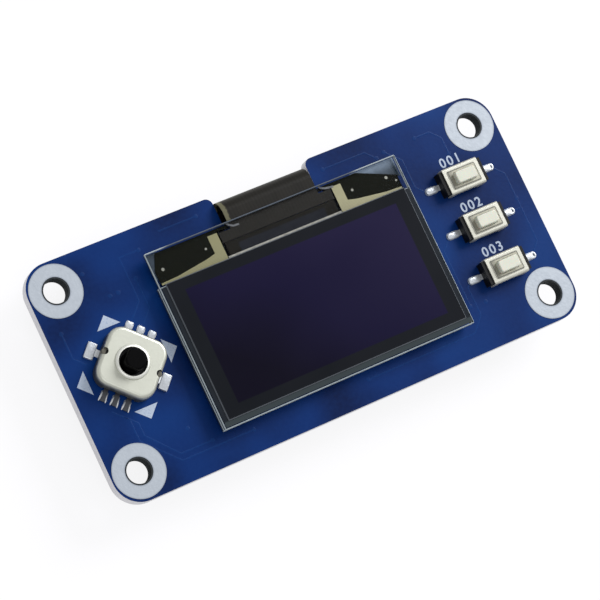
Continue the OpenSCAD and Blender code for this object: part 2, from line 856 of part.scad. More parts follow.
module resistor_bodies() {
    color("#1b1b1d") at_small(resistors) small_body(resistor_h);
}

module resistor_ends() {
    color("#cfd2d4") at_small(resistors) small_ends(resistor_h);
}

// Three leads on one side of the regulator and two on the other
module at_regulator_leads() {
    translate([regulator_x, regulator_y, 0]) {
        for (i = [-1, 0, 1])
            translate([i * regulator_pitch, 0, 0])
                children();
        mirror([0, 1, 0])
            for (i = [-1, 1])
                translate([i * regulator_pitch, 0, 0])
                    children();
    }
}

module regulator_body() {
    color("#1e1e20")
        translate([regulator_x, regulator_y, 0])
            slab(regulator_l, regulator_w, back_z - regulator_lift - regulator_h, back_z - regulator_lift);
}

module regulator_leads() {
    side = regulator_w / 2;
    knee = side + regulator_knee;
    tip = side + regulator_lead_l;
    mid = -regulator_lift - regulator_h / 2;
    t = regulator_lead_t;
    color("#cfd2d4")
        at_regulator_leads()
            translate([0, 0, back_z])
                along_x(regulator_lead_w)
                    polygon([
                        [side, mid], [knee, mid], [knee, -pad_t - t], [tip, -pad_t - t],
                        [tip, -pad_t], [knee - t, -pad_t], [knee - t, mid + t], [side, mid + t]
                    ]);
}

// ---- joystick ----

module joystick_base() {
    color("#141416")
        at_joystick()
            difference() {
                pressed_block(joy_base_w, joy_base_w, 0, joy_base_h, joy_base_r, shield_bend - shield_t);
                translate([0, 0, joy_floor])
                    cylinder(h = joy_base_h, d = well_d);
                at_joy_leads()
                    translate([joy_base_w / 2, 0, 0])
                        slab(2 * key_lead_in, joy_lead_w, -cut, pad_t + lead_t);
            }
}

module joystick_leads() {
    run = joy_lead_l + shield_w / 2 - joy_base_w / 2 + key_lead_in;
    color("#dfe3e6")
        at_joystick()
            at_joy_leads()
                translate([joy_base_w / 2 - key_lead_in + run / 2, 0, 0])
                    slab(run, joy_lead_w, pad_t, pad_t + lead_t);
}

module joystick_dome() {
    color("#c9cbc8")
        at_joystick()
            translate([0, 0, joy_floor])
                snap_dome(joy_dome_d, joy_dome_h, dome_t);
}

module joystick_plunger() {
    color("#232326")
        at_joystick()
            difference() {
                translate([0, 0, plunger_z])
                    cylinder(h = plunger_top - plunger_z, d = plunger_d);
                translate([0, 0, pivot_z])
                    sphere(d = socket_ball_d);
            }
}

// The plate that rocks on two sides and holds the ball in its ring
module joystick_rocker() {
    color("#2c2c30")
        at_joystick()
            difference() {
                translate([0, 0, pivot_z - rocker_t / 2])
                    cylinder(h = rocker_t, d = rocker_d);
                translate([0, 0, pivot_z])
                    sphere(d = ball_d + 2 * slide_gap);
            }
}

module joystick_stick() {
    color("#101012")
        at_joystick() {
            intersection() {
                translate([0, 0, pivot_z]) sphere(d = ball_d);
                translate([0, 0, ball_low]) cylinder(h = ball_high - ball_low, d = ball_d + cut);
            }
            translate([0, 0, pivot_z]) sphere(d = foot_d);
            translate([0, 0, pivot_z]) cylinder(h = shaft_z - pivot_z, d = neck_d);
            stick_shaft();
        }
}

// The shaft is round in the collar, and has four flats above it
module stick_shaft() {
    collar_top = shield_h + collar_h;
    translate([0, 0, shaft_z]) cylinder(h = collar_top - shaft_z, d = stick_d);
    intersection() {
        rotate_extrude()
            intersection() {
                rounded_top(stick_d, collar_top, stick_h, stick_round);
                translate([0, collar_top - cut]) square([stick_d, stick_h]);
            }
        slab(stick_flats, stick_flats, collar_top - cut, stick_h + cut);
    }
}

// A box pressed from sheet, with a collar drawn up round the stick
module joystick_shield() {
    inner_top = shield_h - shield_t;
    color("#d6d8cc")
        at_joystick()
            difference() {
                union() {
                    pressed_block(shield_w, shield_w, shield_lift, shield_h, shield_r, shield_bend);
                    translate([0, 0, inner_top])
                        collar_profile();
                    at_ears()
                        ear();
                }
                pressed_block(
                    shield_in_w, shield_in_w, -cut, inner_top, shield_r - shield_t, shield_bend - shield_t
                );
                translate([0, 0, inner_top - cut])
                    cylinder(h = shield_t + collar_h + 2 * cut, d = collar_d);
                at_both_ends()
                    translate([ear_start, 0, 0])
                        slab(4 * shield_t, 2 * (joy_lead_pitch + window_side) + joy_lead_w, -cut, shield_lift + window_h);
                at_ears()
                    translate([ear_start - bite_inset, 0, shield_h - bite_h])
                        cylinder(h = bite_h + cut, d = bite_d);
            }
}

// The collar's outside, rounded over at its lip
module collar_profile() {
    r = collar_d / 2 + collar_t;
    rotate_extrude()
        intersection() {
            rounded_top(2 * r, 0, shield_t + collar_h, lip_share * collar_t);
            square([r + cut, shield_t + collar_h + cut]);
        }
}

// A solder ear: a strip down the shield's side, a neck along the board and a wide tip
module ear() {
    translate([ear_start - shield_t, -ear_neck_w / 2, pad_t])
        cube([shield_t, ear_neck_w, shield_h / 2]);
    translate([ear_start - shield_t, -ear_neck_w / 2, pad_t])
        cube([shield_t + ear_neck_l + ear_l / 2, ear_neck_w, shield_t]);
    translate([ear_tip - ear_l / 2, 0, 0])
        slab(ear_l, ear_w, pad_t, pad_t + shield_t);
}

// ---- keys ----

module key_base(i) {
    color("#151517")
        at_key(i)
            difference() {
                slab(key_l, key_w, 0, key_base_h);
                slab(key_well_l, key_well_w, key_floor, key_base_h + cut, well_r);
                at_both_ends()
                    translate([key_l / 2, 0, 0])
                        slab(2 * key_lead_in, key_lead_w, -cut, pad_t + lead_t);
            }
}

module key_leads(i) {
    run = key_lead_l + key_lead_in;
    color("#dfe3e6")
        at_key(i)
            at_both_ends()
                translate([key_l / 2 - key_lead_in + run / 2, 0, 0])
                    slab(run, key_lead_w, pad_t, pad_t + lead_t);
}

module key_dome(i) {
    color("#c9cbc8")
        at_key(i)
            translate([0, 0, key_floor])
                snap_dome(key_dome_d, key_dome_h, dome_t);
}

module key_button(i) {
    button_top = cover_top + button_h;
    color("#dcdccd")
        at_key(i) {
            pressed_block(button_l, button_w, flange_z, button_top, button_r, button_round);
            slab(button_l + 2 * flange_lip, button_w + 2 * flange_lip, flange_z, flange_top, button_r);
            translate([0, 0, key_dome_top])
                cylinder(h = flange_z - key_dome_top, d = stub_d);
        }
}

// A folded sheet: a raised panel round the button, two skirts and four claws
module key_cover(i) {
    in_bend = cover_bend - cover_t;
    color("#c9cbc2")
        at_key(i)
            difference() {
                union() {
                    along_x(cover_l) rounded_top(cover_w, claw_z, cover_top, cover_bend);
                    pressed_block(raised_l, raised_w, cover_z, raised_z + cover_t, cover_bend, cover_raise);
                }
                along_x(cover_l + 2 * cut) rounded_top(cover_in_w, -cut, cover_z, in_bend);
                slab(raised_l - 2 * cover_t, raised_w - 2 * cover_t, -cut, raised_z, in_bend);
                slab(button_l + 2 * button_gap, button_w + 2 * button_gap, 0, cover_top + cut, button_r + button_gap);
                slab(cover_l - 2 * claw_w, cover_w + 2 * cut, -cut, cover_skirt);
            }
}

circuit_board();
hole_rings();
front_pads();
back_pads();
panel_tape();
cap_glass();
emissive_layer();
front_glass();
polarizer_film();
driver_chip();
chip_resin();
ledge_masks();
row_traces();
ribbon();
ribbon_joints();
socket_housing();
socket_contacts();
capacitor_bodies();
capacitor_ends();
resistor_bodies();
resistor_ends();
regulator_body();
regulator_leads();
joystick_base();
joystick_leads();
joystick_dome();
joystick_plunger();
joystick_rocker();
joystick_stick();
joystick_shield();
key_base(1);  // key_1_base
key_leads(1);  // key_1_leads
key_dome(1);  // key_1_dome
key_button(1);  // key_1_button
key_cover(1);  // key_1_cover
key_base(2);  // key_2_base
key_leads(2);  // key_2_leads
key_dome(2);  // key_2_dome
key_button(2);  // key_2_button
key_cover(2);  // key_2_cover
key_base(3);  // key_3_base
key_leads(3);  // key_3_leads
key_dome(3);  // key_3_dome
key_button(3);  // key_3_button
key_cover(3);  // key_3_cover
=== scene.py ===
# Display and button board: a small panel on a ribbon, a five-way stick and three keys.
import math

import bmesh
import bpy
from mathutils import Matrix, Quaternion, Vector


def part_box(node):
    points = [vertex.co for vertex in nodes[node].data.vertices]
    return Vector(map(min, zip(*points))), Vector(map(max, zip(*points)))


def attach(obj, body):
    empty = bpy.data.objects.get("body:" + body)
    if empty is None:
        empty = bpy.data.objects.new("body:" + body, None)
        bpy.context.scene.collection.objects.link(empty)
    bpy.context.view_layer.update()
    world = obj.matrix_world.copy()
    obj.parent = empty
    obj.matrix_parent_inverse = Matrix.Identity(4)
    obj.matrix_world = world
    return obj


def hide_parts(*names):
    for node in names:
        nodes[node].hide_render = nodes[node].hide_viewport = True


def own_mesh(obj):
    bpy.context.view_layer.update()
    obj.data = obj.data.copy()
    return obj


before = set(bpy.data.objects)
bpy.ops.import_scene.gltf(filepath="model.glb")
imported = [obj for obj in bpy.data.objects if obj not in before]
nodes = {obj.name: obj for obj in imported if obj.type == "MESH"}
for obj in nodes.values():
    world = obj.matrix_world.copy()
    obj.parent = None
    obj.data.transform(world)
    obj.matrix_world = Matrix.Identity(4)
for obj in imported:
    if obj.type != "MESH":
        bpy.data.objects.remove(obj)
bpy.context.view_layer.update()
mm = 0.001


def hexColor(text):
    channels = [int(text[i:i + 2], 16) / 255 for i in (0, 2, 4)]
    return tuple(c / 12.92 if c <= 0.04045 else ((c + 0.055) / 1.055) ** 2.4 for c in channels)


def middle(node):
    low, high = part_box(node)
    return (low + high) / 2


# Camera, lights and floor come first

boardLow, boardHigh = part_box("circuit_board")

cameraLook = {
    "lens": 169.74,
    "clip": 20 * mm,
    "distance": 337.07 * mm,
    "heading": 195.13,  # degrees round the board, from +X
    "tilt": 24.04,  # degrees from straight above
    "roll": 50.83,
    "aim": Vector((-1.641, -0.421, 0)) * mm,
}

lightLook = {
    "ambient": 0.5,
    "key": {"from": (1.0, 0.42, 0.85), "away": 650 * mm, "size": 380 * mm, "watts": 3.0},
    "fill": {"from": (-0.3, -0.25, 1.0), "away": 650 * mm, "size": 320 * mm, "watts": 0.6},
    "floor": "f4f4f2",
    "floorSeen": "6e6d73",  # the floor as the camera sees it, before its glow is added
    "floorGlow": 0.86,
    "floorHalf": 1500 * mm,
}


def makeCamera(look):
    camera = bpy.data.objects.new("camera", bpy.data.cameras.new("camera"))
    camera.data.lens = look["lens"]
    camera.data.clip_start = look["clip"]
    heading, tilt = math.radians(look["heading"]), math.radians(look["tilt"])
    back = Vector((math.sin(tilt) * math.cos(heading), math.sin(tilt) * math.sin(heading), math.cos(tilt)))
    camera.rotation_mode = "QUATERNION"
    camera.location = look["aim"] + back * look["distance"]
    camera.rotation_quaternion = (-back).to_track_quat("-Z", "Y") @ Quaternion((0, 0, 1), math.radians(look["roll"]))
    bpy.context.scene.collection.objects.link(camera)
    bpy.context.scene.camera = camera


def makeLamp(name, look):
    lamp = bpy.data.lights.new(name, "AREA")
    lamp.shape = "DISK"
    lamp.size = look["size"]
    lamp.energy = look["watts"]
    holder = bpy.data.objects.new(name, lamp)
    direction = Vector(look["from"]).normalized()
    holder.location = direction * look["away"]
    holder.rotation_euler = (-direction).to_track_quat("-Z", "Y").to_euler()
    bpy.context.scene.collection.objects.link(holder)


def seenDirectly(tree):
    # 1 where the camera looks at it, straight or through glass or off metal
    path = tree.nodes.new("ShaderNodeLightPath")
    either = tree.nodes.new("ShaderNodeMath")
    either.operation = "MAXIMUM"
    tree.links.new(path.outputs["Is Camera Ray"], either.inputs[0])
    tree.links.new(path.outputs["Is Transmission Ray"], either.inputs[1])
    return either.outputs[0]


def makeWorld(look):
    world = bpy.data.worlds.new("studio")
    bpy.context.scene.world = world
    world.use_nodes = True
    tree = world.node_tree
    background = tree.nodes["Background"]
    background.inputs["Color"].default_value = (1, 1, 1, 1)
    level = tree.nodes.new("ShaderNodeMapRange")
    level.inputs["To Min"].default_value = look["ambient"]
    level.inputs["To Max"].default_value = 1.0
    tree.links.new(seenDirectly(tree), level.inputs["Value"])
    tree.links.new(level.outputs["Result"], background.inputs["Strength"])


def makeFloor(look):
    bm = bmesh.new()
    bmesh.ops.create_grid(bm, x_segments=1, y_segments=1, size=look["floorHalf"])
    bmesh.ops.translate(bm, verts=bm.verts, vec=(0, 0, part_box("socket_housing")[0].z))
    mesh = bpy.data.meshes.new("floor")
    bm.to_mesh(mesh)
    bm.free()
    floor = bpy.data.objects.new("floor", mesh)
    bpy.context.scene.collection.objects.link(floor)
    material = bpy.data.materials.new("floorPaper")
    material.use_nodes = True
    tree = material.node_tree
    paper = tree.nodes["Principled BSDF"]
    shown = tree.nodes.new("ShaderNodeBsdfPrincipled")
    for shader, color in ((paper, look["floor"]), (shown, look["floorSeen"])):
        shader.inputs["Base Color"].default_value = (*hexColor(color), 1)
        shader.inputs["Roughness"].default_value = 0.9
        shader.inputs["Specular IOR Level"].default_value = 0.0
    shown.inputs["Emission Color"].default_value = (1, 1, 1, 1)
    shown.inputs["Emission Strength"].default_value = look["floorGlow"]
    choose = tree.nodes.new("ShaderNodeMixShader")
    tree.links.new(seenDirectly(tree), choose.inputs[0])
    tree.links.new(paper.outputs[0], choose.inputs[1])
    tree.links.new(shown.outputs[0], choose.inputs[2])
    tree.links.new(choose.outputs[0], tree.nodes["Material Output"].inputs["Surface"])
    mesh.materials.append(material)


bpy.context.scene.view_settings.view_transform = "Standard"
makeCamera(cameraLook)
makeWorld(lightLook)
makeLamp("keyLamp", lightLook["key"])
makeLamp("fillLamp", lightLook["fill"])
makeFloor(lightLook)
print("camera, lights and floor set")


# Node helpers: every pattern is laid out in millimetres on object coordinates

def newMaterial(name, color, roughness, metallic=0.0, **sockets):
    material = bpy.data.materials.new(name)
    material.use_nodes = True
    shader = material.node_tree.nodes["Principled BSDF"]
    shader.inputs["Base Color"].default_value = (*hexColor(color), 1)
    shader.inputs["Roughness"].default_value = roughness
    shader.inputs["Metallic"].default_value = metallic
    for socket, value in sockets.items():
        shader.inputs[socket.replace("_", " ")].default_value = value
    return material, material.node_tree, shader


def millimetres(tree, centre=(0, 0, 0), stretch=(1, 1, 1)):
    coordinate = tree.nodes.new("ShaderNodeTexCoord")
    mapping = tree.nodes.new("ShaderNodeMapping")
    mapping.vector_type = "TEXTURE"
    mapping.inputs["Location"].default_value = [c * mm for c in centre]
    mapping.inputs["Scale"].default_value = [s * mm for s in stretch]
    tree.links.new(coordinate.outputs["Object"], mapping.inputs["Vector"])
    return mapping.outputs["Vector"]


def axes(tree, vector):
    split = tree.nodes.new("ShaderNodeSeparateXYZ")
    tree.links.new(vector, split.inputs[0])
    return split.outputs[0], split.outputs[1], split.outputs[2]


def calc(tree, operation, *values):
    node = tree.nodes.new("ShaderNodeMath")
    node.operation = operation
    for socket, value in zip(node.inputs, values):
        if isinstance(value, (int, float)):
            socket.default_value = value
        else:
            tree.links.new(value, socket)
    return node.outputs[0]


def step(tree, value, start, end):
    # 0 before start, 1 after end
    node = tree.nodes.new("ShaderNodeMapRange")
    node.interpolation_type = "SMOOTHSTEP"
    node.inputs["From Min"].default_value = start
    node.inputs["From Max"].default_value = end
    tree.links.new(value, node.inputs["Value"])
    return node.outputs["Result"]


def noise(tree, grain, detail=2.0, roughness=0.5, **place):
    node = tree.nodes.new("ShaderNodeTexNoise")
    node.inputs["Scale"].default_value = 1 / grain
    node.inputs["Detail"].default_value = detail
    node.inputs["Roughness"].default_value = roughness
    tree.links.new(millimetres(tree, **place), node.inputs["Vector"])
    return node.outputs["Fac"]


def mixColors(tree, factor, first, second):
    node = tree.nodes.new("ShaderNodeMix")
    node.data_type = "RGBA"
    for socket, value in ((node.inputs[0], factor), (node.inputs[6], first), (node.inputs[7], second)):
        if isinstance(value, (int, float)):
            socket.default_value = value
        elif isinstance(value, str):
            socket.default_value = (*hexColor(value), 1)
        else:
            tree.links.new(value, socket)
    return node.outputs[2]


def ramp(tree, factor, *stops):
    node = tree.nodes.new("ShaderNodeValToRGB")
    elements = node.color_ramp.elements
    while len(elements) < len(stops):
        elements.new(0.5)
    for element, (position, color) in zip(elements, stops):
        element.position = position
        element.color = (*hexColor(color), 1)
    tree.links.new(factor, node.inputs["Fac"])
    return node.outputs["Color"]


def span(tree, value, low, high):
    # carries a 0 to 1 pattern to the range low to high
    node = tree.nodes.new("ShaderNodeMapRange")
    node.inputs["To Min"].default_value = low
    node.inputs["To Max"].default_value = high
    tree.links.new(value, node.inputs["Value"])
    return node.outputs["Result"]


def paint(tree, shader, color):
    tree.links.new(color, shader.inputs["Base Color"])


def gloss(tree, shader, value):
    tree.links.new(value, shader.inputs["Roughness"])


def relief(tree, shader, height, depth):
    bump = tree.nodes.new("ShaderNodeBump")
    bump.inputs["Distance"].default_value = depth * mm
    tree.links.new(height, bump.inputs["Height"])
    tree.links.new(bump.outputs["Normal"], shader.inputs["Normal"])


def upFacing(tree, low=0.45, high=0.55):
    # 1 on faces that look up or down, 0 on edges
    coordinate = tree.nodes.new("ShaderNodeTexCoord")
    return step(tree, calc(tree, "ABSOLUTE", axes(tree, coordinate.outputs["Normal"])[2]), low, high)


def insideBox(tree, centre, size, soft):
    x, y, _ = axes(tree, millimetres(tree, centre=centre))
    across = step(tree, calc(tree, "SUBTRACT", size[0] / 2, calc(tree, "ABSOLUTE", x)), -soft, soft)
    along = step(tree, calc(tree, "SUBTRACT", size[1] / 2, calc(tree, "ABSOLUTE", y)), -soft, soft)
    return calc(tree, "MULTIPLY", across, along)


def invert(tree, value):
    return calc(tree, "SUBTRACT", 1.0, value)


def mottledMaterial(name, colors, grain, shine, metallic=0.0, detail=3.0, depth=0.0, **sockets):
    # two tones in a fine mottle; shine is the lowest and highest roughness
    first, second = colors
    material, tree, shader = newMaterial(name, first, sum(shine) / 2, metallic, **sockets)
    mottle = noise(tree, grain, detail)
    paint(tree, shader, mixColors(tree, mottle, first, second))
    gloss(tree, shader, span(tree, mottle, *shine))
    if depth:
        relief(tree, shader, mottle, depth)
    return material


def dress(material, *names):
    for name in names:
        mesh = nodes[name].data
        mesh.materials.clear()
        mesh.materials.append(material)


# Mesh helpers

def finishPiece(bm, name, materials, replaced=(), sharp=38):
    bmesh.ops.remove_doubles(bm, verts=bm.verts, dist=1e-7)
    bmesh.ops.recalc_face_normals(bm, faces=bm.faces)
    mesh = bpy.data.meshes.new(name)
    bm.to_mesh(mesh)
    bm.free()
    for material in materials:
        mesh.materials.append(material)
    mesh.shade_smooth()
    mesh.set_sharp_from_angle(angle=math.radians(sharp))
    piece = bpy.data.objects.new(name, mesh)
    bpy.context.scene.collection.objects.link(piece)
    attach(piece, "root")
    if replaced:
        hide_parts(*replaced)
    return piece


def addCopy(target, source, place=Matrix.Identity(4)):
    mesh = bpy.data.meshes.new("copy")
    source.to_mesh(mesh)
    mesh.transform(place)
    target.from_mesh(mesh)
    bpy.data.meshes.remove(mesh)


def addPart(target, source, place=Matrix.Identity(4)):
    # adds a part and frees the mesh it came from
    addCopy(target, source, place)
    source.free()


def soften(bm, edges, radius, segments=3):
    bmesh.ops.bevel(bm, geom=edges, offset=radius, offset_type="OFFSET", affect="EDGES",
                    segments=segments, profile=0.5, material=-1, clamp_overlap=True)


def topEdges(bm):
    top = max(v.co.z for v in bm.verts)
    return [e for e in bm.edges if all(abs(v.co.z - top) < 1e-7 for v in e.verts)]


def plate(low, high, corner=0.0, edge=0.0, segments=3):
    # a slab between two corners, with rounded corners and soft upper edges
    bm = bmesh.new()
    bmesh.ops.create_cube(bm, size=1.0)
    bmesh.ops.scale(bm, verts=bm.verts, vec=high - low)
    bmesh.ops.translate(bm, verts=bm.verts, vec=(low + high) / 2)
    if corner:
        soften(bm, [e for e in bm.edges if abs(e.verts[0].co.z - e.verts[1].co.z) > 1e-7], corner, 6)
    if edge:
        soften(bm, topEdges(bm), edge, segments)
    return bm


def flatShape(bm, height):
    # gives a flat face its thickness
    made = bmesh.ops.extrude_face_region(bm, geom=bm.faces[:])
    bmesh.ops.translate(bm, verts=[v for v in made["geom"] if isinstance(v, bmesh.types.BMVert)], vec=(0, 0, height))


def disc(centre, radius, height, segments=20):
    bm = bmesh.new()
    bmesh.ops.create_circle(bm, cap_ends=True, segments=segments, radius=radius)
    bmesh.ops.translate(bm, verts=bm.verts, vec=centre)
    flatShape(bm, height)
    return bm


def mound(size, height):
    # half a drop of solder, cut off level underneath
    bm = bmesh.new()
    bmesh.ops.create_uvsphere(bm, u_segments=20, v_segments=12, radius=0.5)
    bmesh.ops.bisect_plane(bm, geom=bm.verts[:] + bm.edges[:] + bm.faces[:], plane_co=(0, 0, 0), plane_no=(0, 0, -1),
                           clear_outer=True)
    bmesh.ops.holes_fill(bm, edges=[e for e in bm.edges if e.is_boundary])
    bmesh.ops.scale(bm, verts=bm.verts, vec=(size[0], size[1], height / 0.5))
    return bm


def at(x, y, z=0.0, turn=0.0):
    return Matrix.Translation((x, y, z)) @ Matrix.Rotation(math.radians(turn), 4, "Z")


# Board

boardLook = {
    "deep": "04153f",
    "mask": "072a66",
    "pale": "0c3b80",
    "overCopper": "1d4c8c",
    "shadeFrom": 4.0,  # painted shade: the mask is painted deeper from here, along X
    "shadeTo": 34.0,
    "patch": 11.0,  # size of the patches of copper under the mask
    # the cut edge's colours, paler than bare laminate: part its own colour, part painted light
    "edge": "f6f5fa",
    "edgeDark": "d3d3da",
    "wall": "33373a",  # inside the mounting holes
    "bare": 1.72,  # radius of the bare strip round a mounting hole
    "peel": 0.35,
}
holePlace = (29.0, 11.5)


def fromHole(tree):
    # distance from the nearest mounting hole's middle, in millimetres
    x, y, _ = axes(tree, millimetres(tree))
    acrossX = calc(tree, "SUBTRACT", calc(tree, "ABSOLUTE", x), holePlace[0])
    acrossY = calc(tree, "SUBTRACT", calc(tree, "ABSOLUTE", y), holePlace[1])
    return calc(tree, "SQRT", calc(tree, "ADD", calc(tree, "POWER", acrossX, 2.0), calc(tree, "POWER", acrossY, 2.0)))


def maskColor(tree, look):
    patches = noise(tree, look["patch"], 1.5, 0.4)
    speck = noise(tree, 0.5, 3.0)
    color = ramp(tree, patches, (0.32, look["deep"]), (0.5, look["mask"]), (0.7, look["pale"]))
    x, _, _ = axes(tree, millimetres(tree))
    # painted shade: the mask darkens towards +X
    paintedShade = step(tree, x, look["shadeFrom"], look["shadeTo"])
    color = mixColors(tree, span(tree, paintedShade, 0.0, 0.3), color, look["deep"])
    return mixColors(tree, span(tree, speck, 0.0, 0.3), color, look["pale"]), speck


def boardMaterial(look):
    material, tree, shader = newMaterial("solderMask", look["mask"], 0.32, Specular_IOR_Level=0.1)
    color, speck = maskColor(tree, look)
    # the laminate shows in thin layers on the cut edge, painted near white: its own pale colour raised by painted light
    layers = calc(tree, "PINGPONG", axes(tree, millimetres(tree))[2], 0.1)
    fibre = noise(tree, 0.3, 4.0, stretch=(4, 4, 0.4))
    laminate = mixColors(tree, fibre, look["edgeDark"], look["edge"])
    laminate = mixColors(tree, span(tree, layers, 0.0, 2.0), laminate, look["edge"])
    away = fromHole(tree)
    nearHole = invert(tree, step(tree, away, look["bare"] - 0.02, look["bare"] + 0.02))
    face = upFacing(tree)
    surface = mixColors(tree, face, laminate, color)
    paint(tree, shader, mixColors(tree, nearHole, surface, look["wall"]))
    gloss(tree, shader, calc(tree, "ADD", calc(tree, "MULTIPLY", face, -0.4), span(tree, speck, 0.7, 0.8)))
    relief(tree, shader, noise(tree, look["peel"], 2.0), 0.006)
    return material


def reliefMaskMaterial(look):
    # the mask where it runs over a trace or a closed via
    material, tree, shader = newMaterial("maskOverCopper", look["pale"], 0.32, Specular_IOR_Level=0.1)
    color, speck = maskColor(tree, look)
    paint(tree, shader, mixColors(tree, 0.18, color, look["overCopper"]))
    gloss(tree, shader, span(tree, speck, 0.28, 0.4))
    return material


dress(boardMaterial(boardLook), "circuit_board")
overCopper = reliefMaskMaterial(boardLook)

traceLook = {
    "width": 0.22,
    "height": 0.008,
    "viaSize": 0.28,
    # the runs of copper under the mask, from point to point
    "front": [
        [(-20.9, 4.1), (-19.4, 5.6), (-19.4, 9.4)], [(-21.9, 5.1), (-20.2, 6.8), (-20.2, 12.4), (-17.6, 12.4)],
        [(-29.0, -4.0), (-27.4, -5.6), (-27.4, -8.4), (-23.6, -12.4), (-14.0, -12.4)],
        [(-27.9, -5.1), (-26.6, -6.4), (-26.6, -8.0), (-23.4, -11.6), (-19.2, -11.6)],
        [(19.8, 5.7), (18.6, 6.9), (18.6, 10.6), (16.8, 12.4)], [(19.8, -0.4), (18.4, -1.8), (18.4, -9.2)],
        [(19.8, -6.4), (19.2, -7.0), (19.2, -10.6), (17.4, -12.4), (2.0, -12.4)],
        [(29.2, 5.7), (30.6, 4.3), (30.6, -4.9), (29.2, -6.4)], [(29.2, -0.4), (30.4, -0.4)],
        [(-30.6, 6.6), (-30.6, 3.4), (-29.4, 2.2)], [(8.4, 13.2), (14.4, 13.2), (15.6, 12.0)],
        [(-14.4, 13.6), (-9.2, 13.6)], [(21.4, 12.6), (23.6, 12.6), (24.8, 11.4), (24.8, 9.2)],
    ],
    "frontVias": [
        (-19.4, 9.4), (-17.6, 12.4), (-14.0, -12.4), (-19.2, -11.6), (16.8, 12.4), (18.4, -9.2), (2.0, -12.4),
        (30.6, 0.9), (-30.6, 6.6), (15.6, 12.0), (-9.2, 13.6), (21.4, 12.6), (-23.2, 8.6), (-22.1, 8.6),
        (8.4, 13.2), (24.8, 9.2), (20.6, -9.4), (-21.4, -9.2), (27.2, -9.0), (-25.2, 12.2),
    ],
    "back": [
        [(-20.6, 5.0), (-16.0, 5.0), (-13.6, 7.4)], [(-20.6, 1.0), (-12.4, 1.0)], [(-20.6, -3.0), (-14.0, -3.0)],
        [(-9.6, -4.0), (-9.6, -6.4)], [(0.0, -4.0), (0.0, -6.2)], [(3.2, -4.0), (5.6, -6.4)],
        [(12.8, 1.0), (12.8, 3.2), (15.6, 3.2)], [(17.4, -2.5), (20.8, -2.5), (22.0, -1.3)], [(22.4, 5.9), (22.4, 8.2)],
    ],
}


def addRun(bm, route, width, height, level):
    # adds a low round ridge along a route of straight lines
    curve = bpy.data.curves.new("run", "CURVE")
    curve.dimensions = "3D"
    curve.bevel_depth = width / 2
    curve.bevel_resolution = 3
    curve.use_fill_caps = True
    spline = curve.splines.new("POLY")
    spline.points.add(len(route) - 1)
    for point, (x, y) in zip(spline.points, route):
        point.co = (x * mm, y * mm, 0, 1)
    holder = bpy.data.objects.new("run", curve)
    bpy.context.scene.collection.objects.link(holder)
    bpy.context.view_layer.update()
    mesh = bpy.data.meshes.new_from_object(holder.evaluated_get(bpy.context.evaluated_depsgraph_get()))
    mesh.transform(Matrix.Translation((0, 0, level)) @ Matrix.Diagonal((1, 1, 2 * height / width, 1)))
    bm.from_mesh(mesh)
    bpy.data.objects.remove(holder)
    bpy.data.meshes.remove(mesh)


def copperRuns(look):
    bm = bmesh.new()
    for routes, level in ((look["front"], boardHigh.z), (look["back"], boardLow.z)):
        for route in routes:
            addRun(bm, route, look["width"] * mm, look["height"] * mm, level)
    for x, y in look["frontVias"]:
        via = mound((2 * look["viaSize"] * mm, 2 * look["viaSize"] * mm), 1.6 * look["height"] * mm)
        addPart(bm, via, at(x * mm, y * mm, boardHigh.z))
    return finishPiece(bm, "copper_runs", [overCopper])


copperRuns(traceLook)

ringLook = {"color": "bac2cc", "shade": "868f9d", "spots": "a8b0bb", "middle": 2.5, "half": 0.8}


def ringMaterial(look):
    material, tree, shader = newMaterial("tinnedRing", look["color"], 0.5, 0.25)
    fromMiddle = calc(tree, "ABSOLUTE", calc(tree, "SUBTRACT", fromHole(tree), look["middle"]))
    rim = step(tree, fromMiddle, look["half"] * 0.72, look["half"] * 1.05)
    mottle = noise(tree, 0.9, 3.0)
    color = mixColors(tree, span(tree, mottle, 0.0, 0.8), look["color"], look["spots"])
    paint(tree, shader, mixColors(tree, span(tree, rim, 0.0, 0.7), color, look["shade"]))
    gloss(tree, shader, span(tree, mottle, 0.42, 0.6))
    relief(tree, shader, noise(tree, 0.35, 3.0), 0.02)
    return material


dress(ringMaterial(ringLook), "hole_rings")

solderLook = {"color": "e4e9ef", "dull": "b7bdc6", "grain": 0.25}


def solderMaterial(look, name="solder", roughness=0.28, metallic=0.6):
    material, tree, shader = newMaterial(name, look["color"], roughness, metallic)
    mottle = noise(tree, look["grain"], 3.0)
    paint(tree, shader, mixColors(tree, span(tree, mottle, -0.3, 1.1), look["color"], look["dull"]))
    gloss(tree, shader, span(tree, mottle, roughness - 0.08, roughness + 0.14))
    relief(tree, shader, noise(tree, look["grain"] * 1.6, 2.0), 0.02)
    return material


solder = solderMaterial(solderLook)
dress(solder, "back_pads", "ribbon_joints")
print("board, rings and pads dressed")


# White print: arrowheads round the stick and a number over each key

printLook = {
    "color": "b9c6da",
    "thin": "8fa3c4",
    "height": 0.02,
    "arrowBase": 5.15,  # from the stick's middle to the arrowheads' base
    "arrowLength": 1.5,
    "arrowWidth": 3.05,
    "numberHeight": 1.2,
    "numberSpacing": 1.25,
    "numberRise": 2.6,  # from a key's middle to its number's middle
    "numberBold": 0.03,
    "figureShare": 0.7,  # a figure's height over the font's size
}


def printMaterial(look):
    material, tree, shader = newMaterial("whitePrint", look["color"], 0.55, Specular_IOR_Level=0.3)
    worn = noise(tree, 0.22, 4.0, 0.6)
    paint(tree, shader, mixColors(tree, step(tree, worn, 0.52, 0.72), look["color"], look["thin"]))
    gloss(tree, shader, span(tree, worn, 0.5, 0.65))
    relief(tree, shader, worn, 0.006)
    return material


whitePrint = printMaterial(printLook)
stickCentre = middle("joystick_shield")
keyCentres = {i: middle(f"key_{i}_button") for i in (1, 2, 3)}


